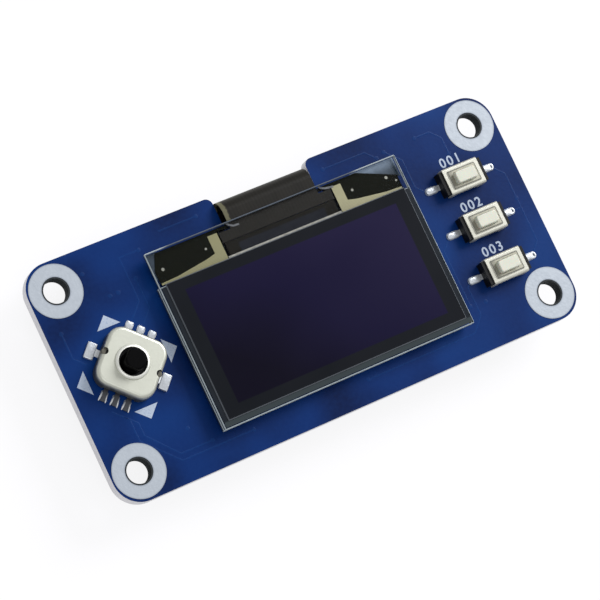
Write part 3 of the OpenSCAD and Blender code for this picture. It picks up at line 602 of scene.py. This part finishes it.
def arrowheads(look):
    arrow = bmesh.new()
    bmesh.ops.create_circle(arrow, cap_ends=True, segments=3, radius=1.0)
    # lays the point along +X, then brings the triangle to its size
    bmesh.ops.rotate(arrow, verts=arrow.verts, matrix=Matrix.Rotation(math.radians(-90), 3, "Z"))
    lowX, highX = min(v.co.x for v in arrow.verts), max(v.co.x for v in arrow.verts)
    wide = max(v.co.y for v in arrow.verts) - min(v.co.y for v in arrow.verts)
    bmesh.ops.translate(arrow, verts=arrow.verts, vec=(-lowX, 0, 0))
    bmesh.ops.scale(arrow, verts=arrow.verts,
                    vec=(look["arrowLength"] * mm / (highX - lowX), look["arrowWidth"] * mm / wide, 1))
    bmesh.ops.translate(arrow, verts=arrow.verts, vec=(look["arrowBase"] * mm, 0, 0))
    flatShape(arrow, look["height"] * mm)
    bm = bmesh.new()
    for turn in (0, 90, 180, 270):
        addCopy(bm, arrow, at(stickCentre.x, stickCentre.y, boardHigh.z, turn))
    arrow.free()
    return finishPiece(bm, "arrowheads", [whitePrint])


def keyNumbers(look):
    bm = bmesh.new()
    for number, centre in keyCentres.items():
        words = bpy.data.curves.new("number", "FONT")
        words.body = f"00{number}"
        words.space_character = look["numberSpacing"]
        words.align_x = "CENTER"
        words.align_y = "CENTER"
        words.size = look["numberHeight"] * mm / look["figureShare"]
        words.extrude = look["height"] * mm / 2
        words.offset = look["numberBold"] * mm
        holder = bpy.data.objects.new("number", words)
        bpy.context.scene.collection.objects.link(holder)
        bpy.context.view_layer.update()
        mesh = bpy.data.meshes.new_from_object(holder.evaluated_get(bpy.context.evaluated_depsgraph_get()))
        mesh.transform(at(centre.x, centre.y + look["numberRise"] * mm, boardHigh.z + look["height"] * mm / 2))
        bm.from_mesh(mesh)
        bpy.data.objects.remove(holder)
        bpy.data.meshes.remove(mesh)
    return finishPiece(bm, "key_numbers", [whitePrint])


arrowheads(printLook)
keyNumbers(printLook)
print("print on the board made")


# Display panel

panelLook = {
    "glass": "0a0f12",
    "glassFar": "101a1f",
    "tint": 0.03,
    "ground": "20272f",
    "groundPale": "39434b",
    # the chamfers' colours: ground glass lightened by a painted highlight
    "line": "96a2a8",
    "linePale": "bcc8ce",
    "lineDim": "2c3a50",
    "dimRun": (-16.0, 12.0),  # where the upper edge's painted highlight is dulled, along X
    "dimFade": 1.5,
    "dimAbove": 11.0,
    "chamfer": 0.12,
    "gap": 0.045,  # between the ledge's parts and the glass over them
    "capGap": 0.05,  # between the two glasses
    "border": "14171c",
    "borderPale": "1b1d23",
    "lit": "171332",
    "litLow": "0e0b1c",
    "litHigh": "211c3c",
    "litSize": (29.42, 14.7),
    "sheenSlope": (0.022, 0.032),  # painted sheen: how fast the lit field pales along X and Y
    "dot": 0.23,
    "filmEdge": "5e636a",
    "filmBevel": 0.12,
    "seal": "0f151d",
    "sealPale": "19212b",
    "rimPale": "343d41",
    "rimLow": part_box("polarizer_film")[0].y / mm,  # under this the rim is paler, along Y
    "sealInset": 0.22,
    "sealSunk": 0.012,  # how deep the rim's bars start in the glass
    "sealThick": 0.015,
    "sealLap": 0.3,
    "corner": "2c3b4a",
    "cornerPale": "7c8ea4",
    "paleRun": (-15.0, 12.0),  # where the corners grow paler, along X and along Y
    "paleRise": (9.4, 11.4),
    "cornerDrop": 0.04,  # below the ledge's masks
    "cornerThick": 0.015,
    "cornerInset": 0.16,
    "cornerSizes": {-1: (1.6, 3.2), 1: (6.2, 2.4)},  # length and width of the films
    "backingDrop": 0.14,  # below the ledge's masks
    "backingThick": 0.02,
    # lower and upper corners of the dark strips
    "backings": [
        ((-9.0, 7.1), (-7.2, 11.0)), ((6.6, 7.1), (8.6, 11.0)),
        ((-8.8, 10.6), (-6.5, 11.1)), ((5.95, 10.6), (8.6, 11.1)),
    ],
    "seam": ("d2d1c8", "6f6f69"),
    "seamWidth": 0.26,
    "seamPast": 0.3,  # how far the bead runs past the resin's ends
    "seamBefore": 0.02,
    "seamThin": 0.004,
}
panelMiddle = middle("emissive_layer")


def glassMaterial(look):
    material, tree, shader = newMaterial("clearGlass", look["glass"], 0.06, Alpha=look["tint"], Specular_IOR_Level=0.3)
    streak = noise(tree, 6.0, 2.0)
    gloss(tree, shader, span(tree, streak, 0.06, 0.12))
    paint(tree, shader, mixColors(tree, streak, look["glass"], look["glassFar"]))
    return material


def groundGlassMaterial(look):
    material, tree, shader = newMaterial("groundGlass", look["ground"], 0.45, Specular_IOR_Level=0.6)
    chips = noise(tree, 0.16, 4.0, 0.6)
    paint(tree, shader, mixColors(tree, chips, look["ground"], look["groundPale"]))
    gloss(tree, shader, span(tree, chips, 0.3, 0.6))
    relief(tree, shader, chips, 0.004)
    return material


def edgeLineMaterial(look):
    # the chamfers are painted pale as a painted highlight over ground glass, dulled along the upper edge
    material, tree, shader = newMaterial("glassEdge", look["line"], 0.3, Specular_IOR_Level=0.6)
    chips = noise(tree, 0.5, 3.0)
    x, y, _ = axes(tree, millimetres(tree))
    (start, end), fade = look["dimRun"], look["dimFade"]
    along = calc(tree, "MULTIPLY", step(tree, x, start, start + fade), invert(tree, step(tree, x, end - fade, end)))
    dim = calc(tree, "MULTIPLY", along, step(tree, y, look["dimAbove"], look["dimAbove"] + 0.1))
    color = mixColors(tree, chips, look["line"], look["linePale"])
    paint(tree, shader, mixColors(tree, span(tree, dim, 0.0, 0.9), color, look["lineDim"]))
    gloss(tree, shader, span(tree, chips, 0.2, 0.4))
    return material


def polarizerMaterial(look):
    material, tree, shader = newMaterial("polarizer", look["border"], 0.3, Specular_IOR_Level=0.06)
    centre = tuple(panelMiddle / mm)
    lit = insideBox(tree, centre, look["litSize"], 0.08)
    x, y, _ = axes(tree, millimetres(tree, centre=centre))
    gap = calc(tree, "MINIMUM", calc(tree, "PINGPONG", x, look["dot"] / 2), calc(tree, "PINGPONG", y, look["dot"] / 2))
    # painted sheen: the lit field pales towards +X and +Y, over its own dark purple
    slopeX, slopeY = look["sheenSlope"]
    sheen = calc(tree, "ADD", calc(tree, "MULTIPLY", x, slopeX), calc(tree, "MULTIPLY", y, slopeY))
    sheen = calc(tree, "ADD", sheen, span(tree, noise(tree, 12.0, 1.0), 0.3, 0.7))
    fieldAndSheen = ramp(tree, sheen, (0.1, look["litLow"]), (0.5, look["lit"]), (0.95, look["litHigh"]))
    fieldAndSheen = mixColors(tree, span(tree, step(tree, gap, 0.0, 0.03), 0.2, 0.0), fieldAndSheen, look["border"])
    border = mixColors(tree, noise(tree, 5.0, 2.0), look["border"], look["borderPale"])
    top = mixColors(tree, lit, border, fieldAndSheen)
    paint(tree, shader, mixColors(tree, upFacing(tree, 0.8, 0.9), look["filmEdge"], top))
    gloss(tree, shader, span(tree, noise(tree, 9.0, 2.0), 0.24, 0.36))
    return material


def glassPlate(name, node, look, lower=0.0, upper=0.0):
    # clear faces, dark ground sides and a bright line along each edge, part ground glass and part painted highlight
    low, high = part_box(node)
    low.z += lower * mm
    high.z -= upper * mm
    bm = plate(low, high)
    soften(bm, bm.edges[:], look["chamfer"] * mm, 1)
    bm.normal_update()
    for face in bm.faces:
        upright = abs(face.normal.z)
        straight = max(abs(value) for value in face.normal) > 0.99
        face.material_index = 0 if upright > 0.99 else 1 if straight else 2
    return finishPiece(bm, name, [clearGlass, groundGlass, edgeLine], replaced=(node,), sharp=20)


clearGlass = glassMaterial(panelLook)
groundGlass = groundGlassMaterial(panelLook)
edgeLine = edgeLineMaterial(panelLook)
polarizer = polarizerMaterial(panelLook)
glassPlate("front_glass_plate", "front_glass", panelLook, lower=panelLook["gap"])
glassPlate("cap_glass_plate", "cap_glass", panelLook, upper=panelLook["capGap"])
filmBevel = panelLook["filmBevel"] * mm
finishPiece(plate(*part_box("polarizer_film"), corner=filmBevel, edge=filmBevel, segments=1), "polarizer_sheet",
            [polarizer], replaced=("polarizer_film",))
dress(polarizer, "emissive_layer")


def sealMaterial(look):
    material, tree, shader = newMaterial("glassSeal", look["seal"], 0.2, Specular_IOR_Level=0.3)
    mottle = noise(tree, 2.4, 2.0)
    _, y, _ = axes(tree, millimetres(tree))
    lowRim = invert(tree, step(tree, y, look["rimLow"] - 0.1, look["rimLow"] + 0.1))
    color = mixColors(tree, mottle, look["seal"], look["sealPale"])
    paint(tree, shader, mixColors(tree, lowRim, color, look["rimPale"]))
    gloss(tree, shader, span(tree, mottle, 0.14, 0.24))
    return material


def sealFrame(look):
    # the glued rim of the panel, as thin bars in the top of the front glass
    low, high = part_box("cap_glass")
    inset = look["sealInset"] * mm
    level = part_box("front_glass")[1].z - look["sealSunk"] * mm
    innerLow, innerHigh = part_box("polarizer_film")
    lap = look["sealLap"] * mm
    bm = bmesh.new()
    outerLow, outerHigh = low.xy + Vector((inset, inset)), high.xy - Vector((inset, inset))
    left, right = innerLow.x + lap, innerHigh.x - lap
    # a bar on each side, and the lower bar between them
    bars = [
        (outerLow, (left, outerHigh.y)), ((right, outerLow.y), outerHigh),
        ((left, outerLow.y), (right, innerLow.y + lap)),
    ]
    for near, far in bars:
        addPart(bm, plate(Vector((*near, level)), Vector((*far, level + look["sealThick"] * mm))))
    return finishPiece(bm, "glass_seal", [sealMaterial(look)])


sealFrame(panelLook)


def cornerMaterial(look):
    material, tree, shader = newMaterial("cornerFilm", look["corner"], 0.4, Specular_IOR_Level=0.3)
    x, y, _ = axes(tree, millimetres(tree))
    across = span(tree, step(tree, x, *look["paleRun"]), 0.1, 1.15)
    rise = calc(tree, "MULTIPLY", step(tree, y, *look["paleRise"]), across)
    paling = calc(tree, "ADD", rise, span(tree, noise(tree, 0.8, 3.0), -0.25, 0.25))
    paint(tree, shader, mixColors(tree, paling, look["corner"], look["cornerPale"]))
    gloss(tree, shader, span(tree, noise(tree, 1.5), 0.3, 0.5))
    return material


def cornerFilms(look):
    # what shows through the clear corners of the ledge
    low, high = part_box("front_glass")
    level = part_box("ledge_masks")[0].z - look["cornerDrop"] * mm
    bm = bmesh.new()
    for side, (length, width) in look["cornerSizes"].items():
        edge = (low.x if side < 0 else high.x) - side * look["cornerInset"] * mm
        top = high.y - look["cornerInset"] * mm
        near = Vector((min(edge, edge - side * length * mm), top - width * mm, level))
        far = Vector((max(edge, edge - side * length * mm), top, level + look["cornerThick"] * mm))
        addPart(bm, plate(near, far))
    return finishPiece(bm, "corner_films", [cornerMaterial(look)])


cornerFilms(panelLook)


def capSeam(look):
    # the bead along the cap glass, seen through the front glass
    resinLow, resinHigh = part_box("chip_resin")
    past, before, thin = (look[name] * mm for name in ("seamPast", "seamBefore", "seamThin"))
    low = Vector((resinLow.x - past, resinLow.y - before, resinHigh.z + thin))
    high = Vector((resinHigh.x + past, resinLow.y + look["seamWidth"] * mm, resinHigh.z + 2 * thin))
    material = mottledMaterial("capSeam", look["seam"], 0.4, (0.4, 0.6))
    return finishPiece(plate(low, high), "cap_seam", [material])


capSeam(panelLook)

darkLook = {
    "backing": ("0b0d10", "14171c"), "tape": ("15171a", "22252a"), "resin": ("1c1b19", "262522"),
    "ledge": ("0d0f0b", "15170f"), "chip": ("22242a", "2c2e35"), "via": ("20262f", "363d49"),
}


def darkMaterial(name, colors, roughness, grain, depth):
    shine = (roughness - 0.1, roughness + 0.1)
    return mottledMaterial(name, colors, grain, shine, depth=depth, Specular_IOR_Level=0.05)


def ledgeBacking(look):
    # dark strips that close the view between the masks and the ribbon
    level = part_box("ledge_masks")[0].z - look["backingDrop"] * mm
    bm = bmesh.new()
    for low, high in look["backings"]:
        near = Vector((low[0] * mm, low[1] * mm, level))
        far = Vector((high[0] * mm, high[1] * mm, level + look["backingThick"] * mm))
        addPart(bm, plate(near, far))
    material = darkMaterial("ledgeBacking", darkLook["backing"], 0.6, 0.5, 0.002)
    return finishPiece(bm, "ledge_backing", [material])


ledgeBacking(panelLook)
dress(darkMaterial("foamTape", darkLook["tape"], 0.8, 0.2, 0.01), "panel_tape")
dress(darkMaterial("blackResin", darkLook["resin"], 0.35, 0.6, 0.01), "chip_resin")
dress(darkMaterial("ledgeMask", darkLook["ledge"], 0.5, 1.4, 0.002), "ledge_masks")
dress(darkMaterial("driverSilicon", darkLook["chip"], 0.3, 1.2, 0.002), "driver_chip")

rowLook = {
    "metal": "b5b18a", "shadedMetalLeft": "989566", "dull": "8f8c70", "gap": "5a5942",
    "pitch": 0.16, "run": (-10.0, 8.0),  # from the painted shade on the left to the right tone, along X
}


def rowMaterial(look):
    material, tree, shader = newMaterial("traceMetal", look["metal"], 0.4, 0.1)
    x, y, _ = axes(tree, millimetres(tree))
    line = step(tree, calc(tree, "PINGPONG", y, look["pitch"] / 2), 0.0, 0.05)
    # painted shade: the traces darken towards the left
    metal = mixColors(tree, step(tree, x, *look["run"]), look["shadedMetalLeft"], look["metal"])
    tone = mixColors(tree, span(tree, noise(tree, 2.4, 2.0), 0.0, 0.8), metal, look["dull"])
    paint(tree, shader, mixColors(tree, span(tree, line, 0.6, 1.0), look["gap"], tone))
    gloss(tree, shader, span(tree, noise(tree, 0.5), 0.3, 0.5))
    return material


dress(rowMaterial(rowLook), "row_traces")

dotLook = {
    "colors": ("b3b4ac", "6b6c62"),
    "height": 0.01,
    # place and radius of the small metal marks on the ledge's masks
    "marks": [(-16.4, 8.95, 0.2), (-10.4, 9.3, 0.15), (10.1, 9.3, 0.17), (14.9, 9.15, 0.2), (16.0, 8.4, 0.14)],
}


def ledgeDots(look):
    material = mottledMaterial("ledgeMetal", look["colors"], 0.15, (0.25, 0.5), 0.3)
    bm = bmesh.new()
    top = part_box("ledge_masks")[1].z
    for x, y, radius in look["marks"]:
        addPart(bm, disc((x * mm, y * mm, top), radius * mm, look["height"] * mm, 16))
    return finishPiece(bm, "ledge_marks", [material])


ledgeDots(dotLook)

stripLook = {
    "colors": ("8a8d92", "4c4f55"),
    "width": 0.26,
    "height": 0.01,
    # the bright cut edges beside the ribbon, from point to point
    "routes": [
        [(6.2, 11.25), (6.35, 11.0), (6.9, 10.72), (8.0, 10.55)],
        [(-6.7, 11.25), (-6.5, 11.0), (-6.0, 10.66), (-5.2, 10.6)],
    ],
}


def ledgeStrips(look):
    material = mottledMaterial("cutEdge", look["colors"], 0.4, (0.35, 0.6), Specular_IOR_Level=0.2)
    bm = bmesh.new()
    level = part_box("front_glass")[0].z - look["height"] * mm / 4
    for route in look["routes"]:
        addRun(bm, route, look["width"] * mm, look["height"] * mm, level)
    return finishPiece(bm, "ledge_strips", [material])


ledgeStrips(stripLook)

ribbonLook = {
    "film": "1a1918", "copper": "1e1d1b", "smudge": "2e2c27", "pale": "66644f",
    "pitch": 0.45, "width": 0.24, "paleEdge": -5.9, "paleStart": (11.2, 11.6),
}


def ribbonMaterial(look):
    material, tree, shader = newMaterial("ribbonFilm", look["film"], 0.35, Specular_IOR_Level=0.14)
    x, y, _ = axes(tree, millimetres(tree))
    line = step(tree, calc(tree, "PINGPONG", x, look["pitch"] / 2), look["width"] / 2 - 0.05, look["width"] / 2 + 0.05)
    color = mixColors(tree, line, look["copper"], look["film"])
    color = mixColors(tree, span(tree, noise(tree, 2.2, 3.0), 0.0, 0.5), color, look["smudge"])
    # a pale strip along the neck's left side
    wander = span(tree, noise(tree, 0.5, 3.0), -0.25, 0.25)
    edge = look["paleEdge"]
    bare = invert(tree, step(tree, calc(tree, "ADD", x, wander), edge - 0.1, edge + 0.1))
    past = step(tree, y, *look["paleStart"])
    paint(tree, shader, mixColors(tree, calc(tree, "MULTIPLY", bare, past), color, look["pale"]))
    gloss(tree, shader, span(tree, noise(tree, 1.5, 2.0), 0.28, 0.46))
    relief(tree, shader, invert(tree, line), 0.0015)
    return material


dress(ribbonMaterial(ribbonLook), "ribbon")
print("display and ribbon dressed")


# Plastics, metals and the small parts behind

plasticLook = {
    "socket": "17181a", "base": "08090a", "stick": "030304", "stickWorn": "060607", "plunger": "2a2a2d",
    "epoxy": "1a1a1b", "glaze": "101113", "worn": "202125",
}


def plasticMaterial(name, color, roughness=0.42, grain=0.12, depth=0.008, shine=0.25, worn=plasticLook["worn"]):
    material, tree, shader = newMaterial(name, color, roughness, Specular_IOR_Level=shine)
    fine = noise(tree, grain, 3.0)
    wide = noise(tree, grain * 18, 2.0)
    paint(tree, shader, mixColors(tree, span(tree, wide, 0.0, 0.3), color, worn))
    gloss(tree, shader, span(tree, fine, roughness - 0.07, roughness + 0.1))
    relief(tree, shader, fine, depth)
    return material


dress(plasticMaterial("socketPlastic", plasticLook["socket"]), "socket_housing")
basePlastic = plasticMaterial("basePlastic", plasticLook["base"], 0.5)
dress(basePlastic, "joystick_base", "key_1_base", "key_2_base", "key_3_base")
dress(plasticMaterial("stickPlastic", plasticLook["stick"], 0.45, 0.03, 0.006, 0.05, plasticLook["stickWorn"]),
      "joystick_stick")
dress(plasticMaterial("plungerPlastic", plasticLook["plunger"], 0.4), "joystick_plunger", "joystick_rocker")
dress(plasticMaterial("mouldedEpoxy", plasticLook["epoxy"], 0.5, 0.07, 0.01), "regulator_body")
dress(plasticMaterial("resistorGlaze", plasticLook["glaze"], 0.25, 0.3, 0.004), "resistor_bodies")

metalLook = {"spring": ("c4c4bd", "8f8f88"), "contact": ("c9b078", "9b8452"), "lead": ("6a6c72", "4b4e55")}


def metalMaterial(name, colors, roughness, metallic):
    color, shade = colors
    material, tree, shader = newMaterial(name, color, roughness, metallic)
    brushed = noise(tree, 0.3, 3.0, 0.6)
    smudge = noise(tree, 2.2, 2.0)
    tone = mixColors(tree, span(tree, smudge, 0.0, 0.55), color, shade)
    paint(tree, shader, mixColors(tree, span(tree, brushed, 0.0, 0.3), tone, shade))
    gloss(tree, shader, span(tree, brushed, roughness - 0.08, roughness + 0.12))
    relief(tree, shader, brushed, 0.006)
    return material


springSteel = metalMaterial("springSteel", metalLook["spring"], 0.25, 0.9)
dress(springSteel, "joystick_dome", "key_1_dome", "key_2_dome", "key_3_dome")

# the snap domes flatten as they are pressed; keep is the share of their height that is left. Here the domes are only
# copied and dressed, and the joint and keep columns are not used
domeLook = {
    "key_1_dome": ("key_1_press", 0.27), "key_2_dome": ("key_2_press", 0.27), "key_3_dome": ("key_3_press", 0.27),
    "joystick_dome": ("stick_press", 0.38),
}


def snapDomes(look):
    for node, (joint, keep) in look.items():
        bm = bmesh.new()
        bm.from_mesh(bpy.data.objects[node].data)
        piece = finishPiece(bm, node.replace("dome", "snap"), [springSteel], replaced=(node,))
        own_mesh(piece)


snapDomes(domeLook)
dress(metalMaterial("contactMetal", metalLook["contact"], 0.3, 0.9), "socket_contacts")
tinnedLead = solderMaterial(solderLook, "tinnedLead", 0.3)
dress(tinnedLead, "key_1_leads", "key_2_leads", "key_3_leads", "regulator_leads", "capacitor_ends", "resistor_ends")
dress(metalMaterial("stickLead", metalLook["lead"], 0.35, 0.8), "joystick_leads")

shieldLook = {
    "color": "d6d8cd",
    "shade": "c2c4b9",
    "bright": "eef2f6",  # the tinned ears
    "earTop": 0.3,
    # the colour of the lip's painted highlight
    "rim": "eeefe8",
    "lip": (2.46, 2.6),  # heights over which the collar's lip grows bright, a painted highlight
    "roughness": 0.42,
    # the walls' painted shade and painted reflection of the dark board
    "wall": "2a2d34",
    "wallShadeLow": 1.3,
    "wallShadeHigh": 2.36,
}


def shieldMaterial(look):
    material, tree, shader = newMaterial("pressedShield", look["color"], look["roughness"], 0.7)
    brushed = noise(tree, 0.3, 3.0, 0.6)
    smudge = noise(tree, 2.2, 2.0)
    tone = mixColors(tree, span(tree, smudge, 0.0, 0.5), look["color"], look["shade"])
    tone = mixColors(tree, span(tree, brushed, 0.0, 0.25), tone, look["shade"])
    z = axes(tree, millimetres(tree))[2]
    # the ears are tinned, the collar's lip is a painted highlight, and the walls darken towards the board as painted
    # shade and painted reflection of the board
    ear = invert(tree, step(tree, z, look["earTop"], look["earTop"] + 0.06))
    lip = step(tree, z, *look["lip"])
    tone = mixColors(tree, lip, tone, look["rim"])
    wall = invert(tree, step(tree, z, look["wallShadeLow"], look["wallShadeHigh"]))
    tone = mixColors(tree, span(tree, wall, 0.0, 0.9), tone, look["wall"])
    paint(tree, shader, mixColors(tree, ear, tone, look["bright"]))
    gloss(tree, shader, span(tree, brushed, look["roughness"] - 0.1, look["roughness"] + 0.1))
    relief(tree, shader, brushed, 0.006)
    return material


dress(shieldMaterial(shieldLook), "joystick_shield")

coverLook = {
    "border": "d2d2c8",
    "panel": "b4b2a2",
    # the panel's painted shade on its left side
    "panelShade": "75746a",
    # the painted shade line where the panel rises
    "groove": "56564f",
    "grooveWidth": 0.24,
    "length": 3.95,  # of the raised panel, with its groove
    "width": 2.35,
    "fade": (-1.9, -0.9),  # painted shade: the panel is darker left of this, from the key's middle
}


def coverMaterial(look, number):
    # a bright folded border, a dark line of painted shade where the panel rises, and a duller panel with painted shade
    # on its left
    material, tree, shader = newMaterial(f"keyCover{number}", look["border"], 0.34, 0.35)
    centre = tuple(keyCentres[number] / mm)
    length, width, groove = look["length"], look["width"], look["grooveWidth"]
    panel = insideBox(tree, centre, (length, width), 0.05)
    inner = insideBox(tree, centre, (length - groove, width - groove), 0.05)
    x = axes(tree, millimetres(tree, centre=centre))[0]
    left = invert(tree, step(tree, x, *look["fade"]))
    brushed = noise(tree, 0.25, 3.0, 0.6, stretch=(3, 0.7, 1))
    plain = mixColors(tree, span(tree, brushed, 0.0, 0.5), look["border"], look["panel"])
    raised = mixColors(tree, calc(tree, "MULTIPLY", left, 0.75), look["panel"], look["panelShade"])
    raised = mixColors(tree, span(tree, brushed, 0.0, 0.4), raised, look["panelShade"])
    face = calc(tree, "MULTIPLY", upFacing(tree), panel)
    color = mixColors(tree, face, plain, look["groove"])
    paint(tree, shader, mixColors(tree, calc(tree, "MULTIPLY", upFacing(tree), inner), color, raised))
    gloss(tree, shader, span(tree, brushed, 0.26, 0.44))
    relief(tree, shader, brushed, 0.008)
    return material


for number in keyCentres:
    dress(coverMaterial(coverLook, number), f"key_{number}_cover")

buttonLook = {"color": "dfe0d3", "worn": "cfd0c1"}


def buttonMaterial(look):
    material, tree, shader = newMaterial("buttonPlastic", look["color"], 0.4, Subsurface_Weight=0.08,
                                         Subsurface_Scale=0.4 * mm)
    wide = noise(tree, 1.2, 3.0)
    fine = noise(tree, 0.1, 3.0)
    paint(tree, shader, mixColors(tree, span(tree, wide, 0.0, 0.8), look["color"], look["worn"]))
    gloss(tree, shader, span(tree, fine, 0.34, 0.5))
    relief(tree, shader, fine, 0.006)
    return material


dress(buttonMaterial(buttonLook), "key_1_button", "key_2_button", "key_3_button")

ceramicColors = ("8f7657", "6d573e")
ceramic = mottledMaterial("capacitorCeramic", ceramicColors, 0.15, (0.35, 0.55), detail=4.0, depth=0.008)
dress(ceramic, "capacitor_bodies")
print("plastics, metals and small parts dressed")


# Solder round the leads on the front

# reach is from the part's middle, size is length and width
jointLook = {
    "lift": 0.03, "soft": 0.1, "pad": 0.04, "padSoft": 0.01,
    "stickPitch": 1.45, "stickReach": 4.55, "stickPad": (1.5, 0.9), "openPad": (0.9, 0.9), "stickPadRound": 0.12,
    "filletSize": (1.2, 0.26), "filletHeight": 0.19, "filletGap": 0.34, "filletTurn": 9,
    "tipReach": 4.75, "tipSize": (0.95, 0.84), "tipHeight": 0.22, "tipRound": 0.16,
    "earReach": 4.75, "earSize": (1.16, 2.06), "earHeight": 0.33, "earRound": 0.25,
    "keyPad": (1.9, 0.96), "keyPadRound": 0.46, "keyPadReach": 4.05, "keyHeight": 0.25,
    "keySolder": {-1: (4.05, (1.8, 0.86)), 1: (3.85, (1.3, 0.8))},  # reach and size, left and right
    "eyeReach": 4.62, "eyeRadius": 0.33, "eyeWire": 0.16, "eyeHole": 0.2, "eyeShade": 0.1,
}


def cushion(size, height, corner, soft):
    # a flat drop of solder with round corners and a soft top
    half = Vector((size[0] / 2, size[1] / 2, 0)) * mm
    return plate(-half, half + Vector((0, 0, height * mm)), corner=corner * mm, edge=soft * mm, segments=4)


def eyelet(radius, wire):
    bm = bmesh.new()
    bmesh.ops.create_circle(bm, segments=12, radius=wire * mm)
    bmesh.ops.rotate(bm, verts=bm.verts, matrix=Matrix.Rotation(math.radians(90), 3, "X"))
    bmesh.ops.translate(bm, verts=bm.verts, vec=(radius * mm, 0, 0))
    bmesh.ops.spin(bm, geom=bm.verts[:] + bm.edges[:], cent=(0, 0, 0), axis=(0, 0, 1), angle=math.tau, steps=28,
                   use_merge=True)
    return bm


def solderJoints(look):
    # bare pads with round corners, and the solder on them; put's last number picks the material
    level = boardHigh.z
    raised = level + look["lift"] * mm
    around = at(stickCentre.x, stickCentre.y, level, 45)
    bm = bmesh.new()

    def put(drop, place, material=0):
        first = len(bm.faces)
        addPart(bm, drop, place)
        bm.faces.ensure_lookup_table()
        for face in bm.faces[first:]:
            face.material_index = material

    lift = Matrix.Translation((0, 0, look["lift"] * mm))
    for side in (-1, 1):
        for row in (-1, 0, 1):
            along = row * look["stickPitch"] * mm
            size = look["stickPad"] if side > 0 else look["openPad"]
            inward = (look["stickPad"][0] - size[0]) / 2
            put(cushion(size, look["pad"], look["stickPadRound"], look["padSoft"]),
                around @ at(side * (look["stickReach"] - inward) * mm, along), 1)
            for flank in (-1, 1):
                # the fillets take the lit copy of the solder, painted light
                put(mound(Vector(look["filletSize"]) * mm, look["filletHeight"] * mm),
                    around @ lift @ at(side * look["stickReach"] * mm, along + flank * look["filletGap"] * mm,
                                       turn=side * flank * look["filletTurn"]), 3)
            if side > 0:
                put(cushion(look["tipSize"], look["tipHeight"], look["tipRound"], look["soft"]),
                    around @ lift @ at(side * look["tipReach"] * mm, along))
        put(cushion(look["earSize"], look["earHeight"], look["earRound"], look["soft"]),
            around @ lift @ at(0, side * look["earReach"] * mm, turn=90))
    for centre in keyCentres.values():
        for side, (reach, size) in look["keySolder"].items():
            put(cushion(look["keyPad"], look["pad"], look["keyPadRound"], look["padSoft"]),
                at(centre.x + side * look["keyPadReach"] * mm, centre.y, level), 1)
            put(cushion(size, look["keyHeight"], size[1] / 2 - 0.02, look["soft"] * 1.6),
                at(centre.x + side * reach * mm, centre.y, raised))
        eyePlace = at(centre.x + look["eyeReach"] * mm, centre.y, raised)
        put(eyelet(look["eyeRadius"], look["eyeWire"]), eyePlace)
        put(disc((0, 0, 0), look["eyeHole"] * mm, look["eyeShade"] * mm), eyePlace, 2)
    return finishPiece(bm, "solder_joints", [solder, padMetal, viaShade, litSolder],
                       replaced=("front_pads",))


padMetal = solderMaterial({**solderLook, "color": "9fa9b8", "dull": "7c8799"}, "padMetal", 0.35)
# a lit copy of the solder, painted nearly white: painted light on the fillets in the shield's shade
litSolder = solderMaterial({**solderLook, "color": "fbfdff", "dull": "e6ebf2"}, "litSolder", 0.4, 0.1)
viaShade = darkMaterial("viaShade", darkLook["via"], 0.5, 0.2, 0.004)
solderJoints(jointLook)

pegLook = {"colors": ("77756c", "55534c"), "reach": 3.42, "radius": 0.4, "low": 1.4, "high": 2.12, "soft": 0.08}


def shieldPegs(look):
    # the base's two moulded pegs, seen in the bites of the shield
    material = mottledMaterial("pegPlastic", look["colors"], 0.2, (0.4, 0.6), Specular_IOR_Level=0.2)
    bm = bmesh.new()
    for side in (-1, 1):
        peg = disc((0, 0, look["low"] * mm), look["radius"] * mm, (look["high"] - look["low"]) * mm, 24)
        soften(peg, topEdges(peg), look["soft"] * mm)
        addPart(bm, peg, at(stickCentre.x, stickCentre.y, turn=45) @ at(0, side * look["reach"] * mm))
    return finishPiece(bm, "shield_pegs", [material])


shieldPegs(pegLook)
print("solder joints made")
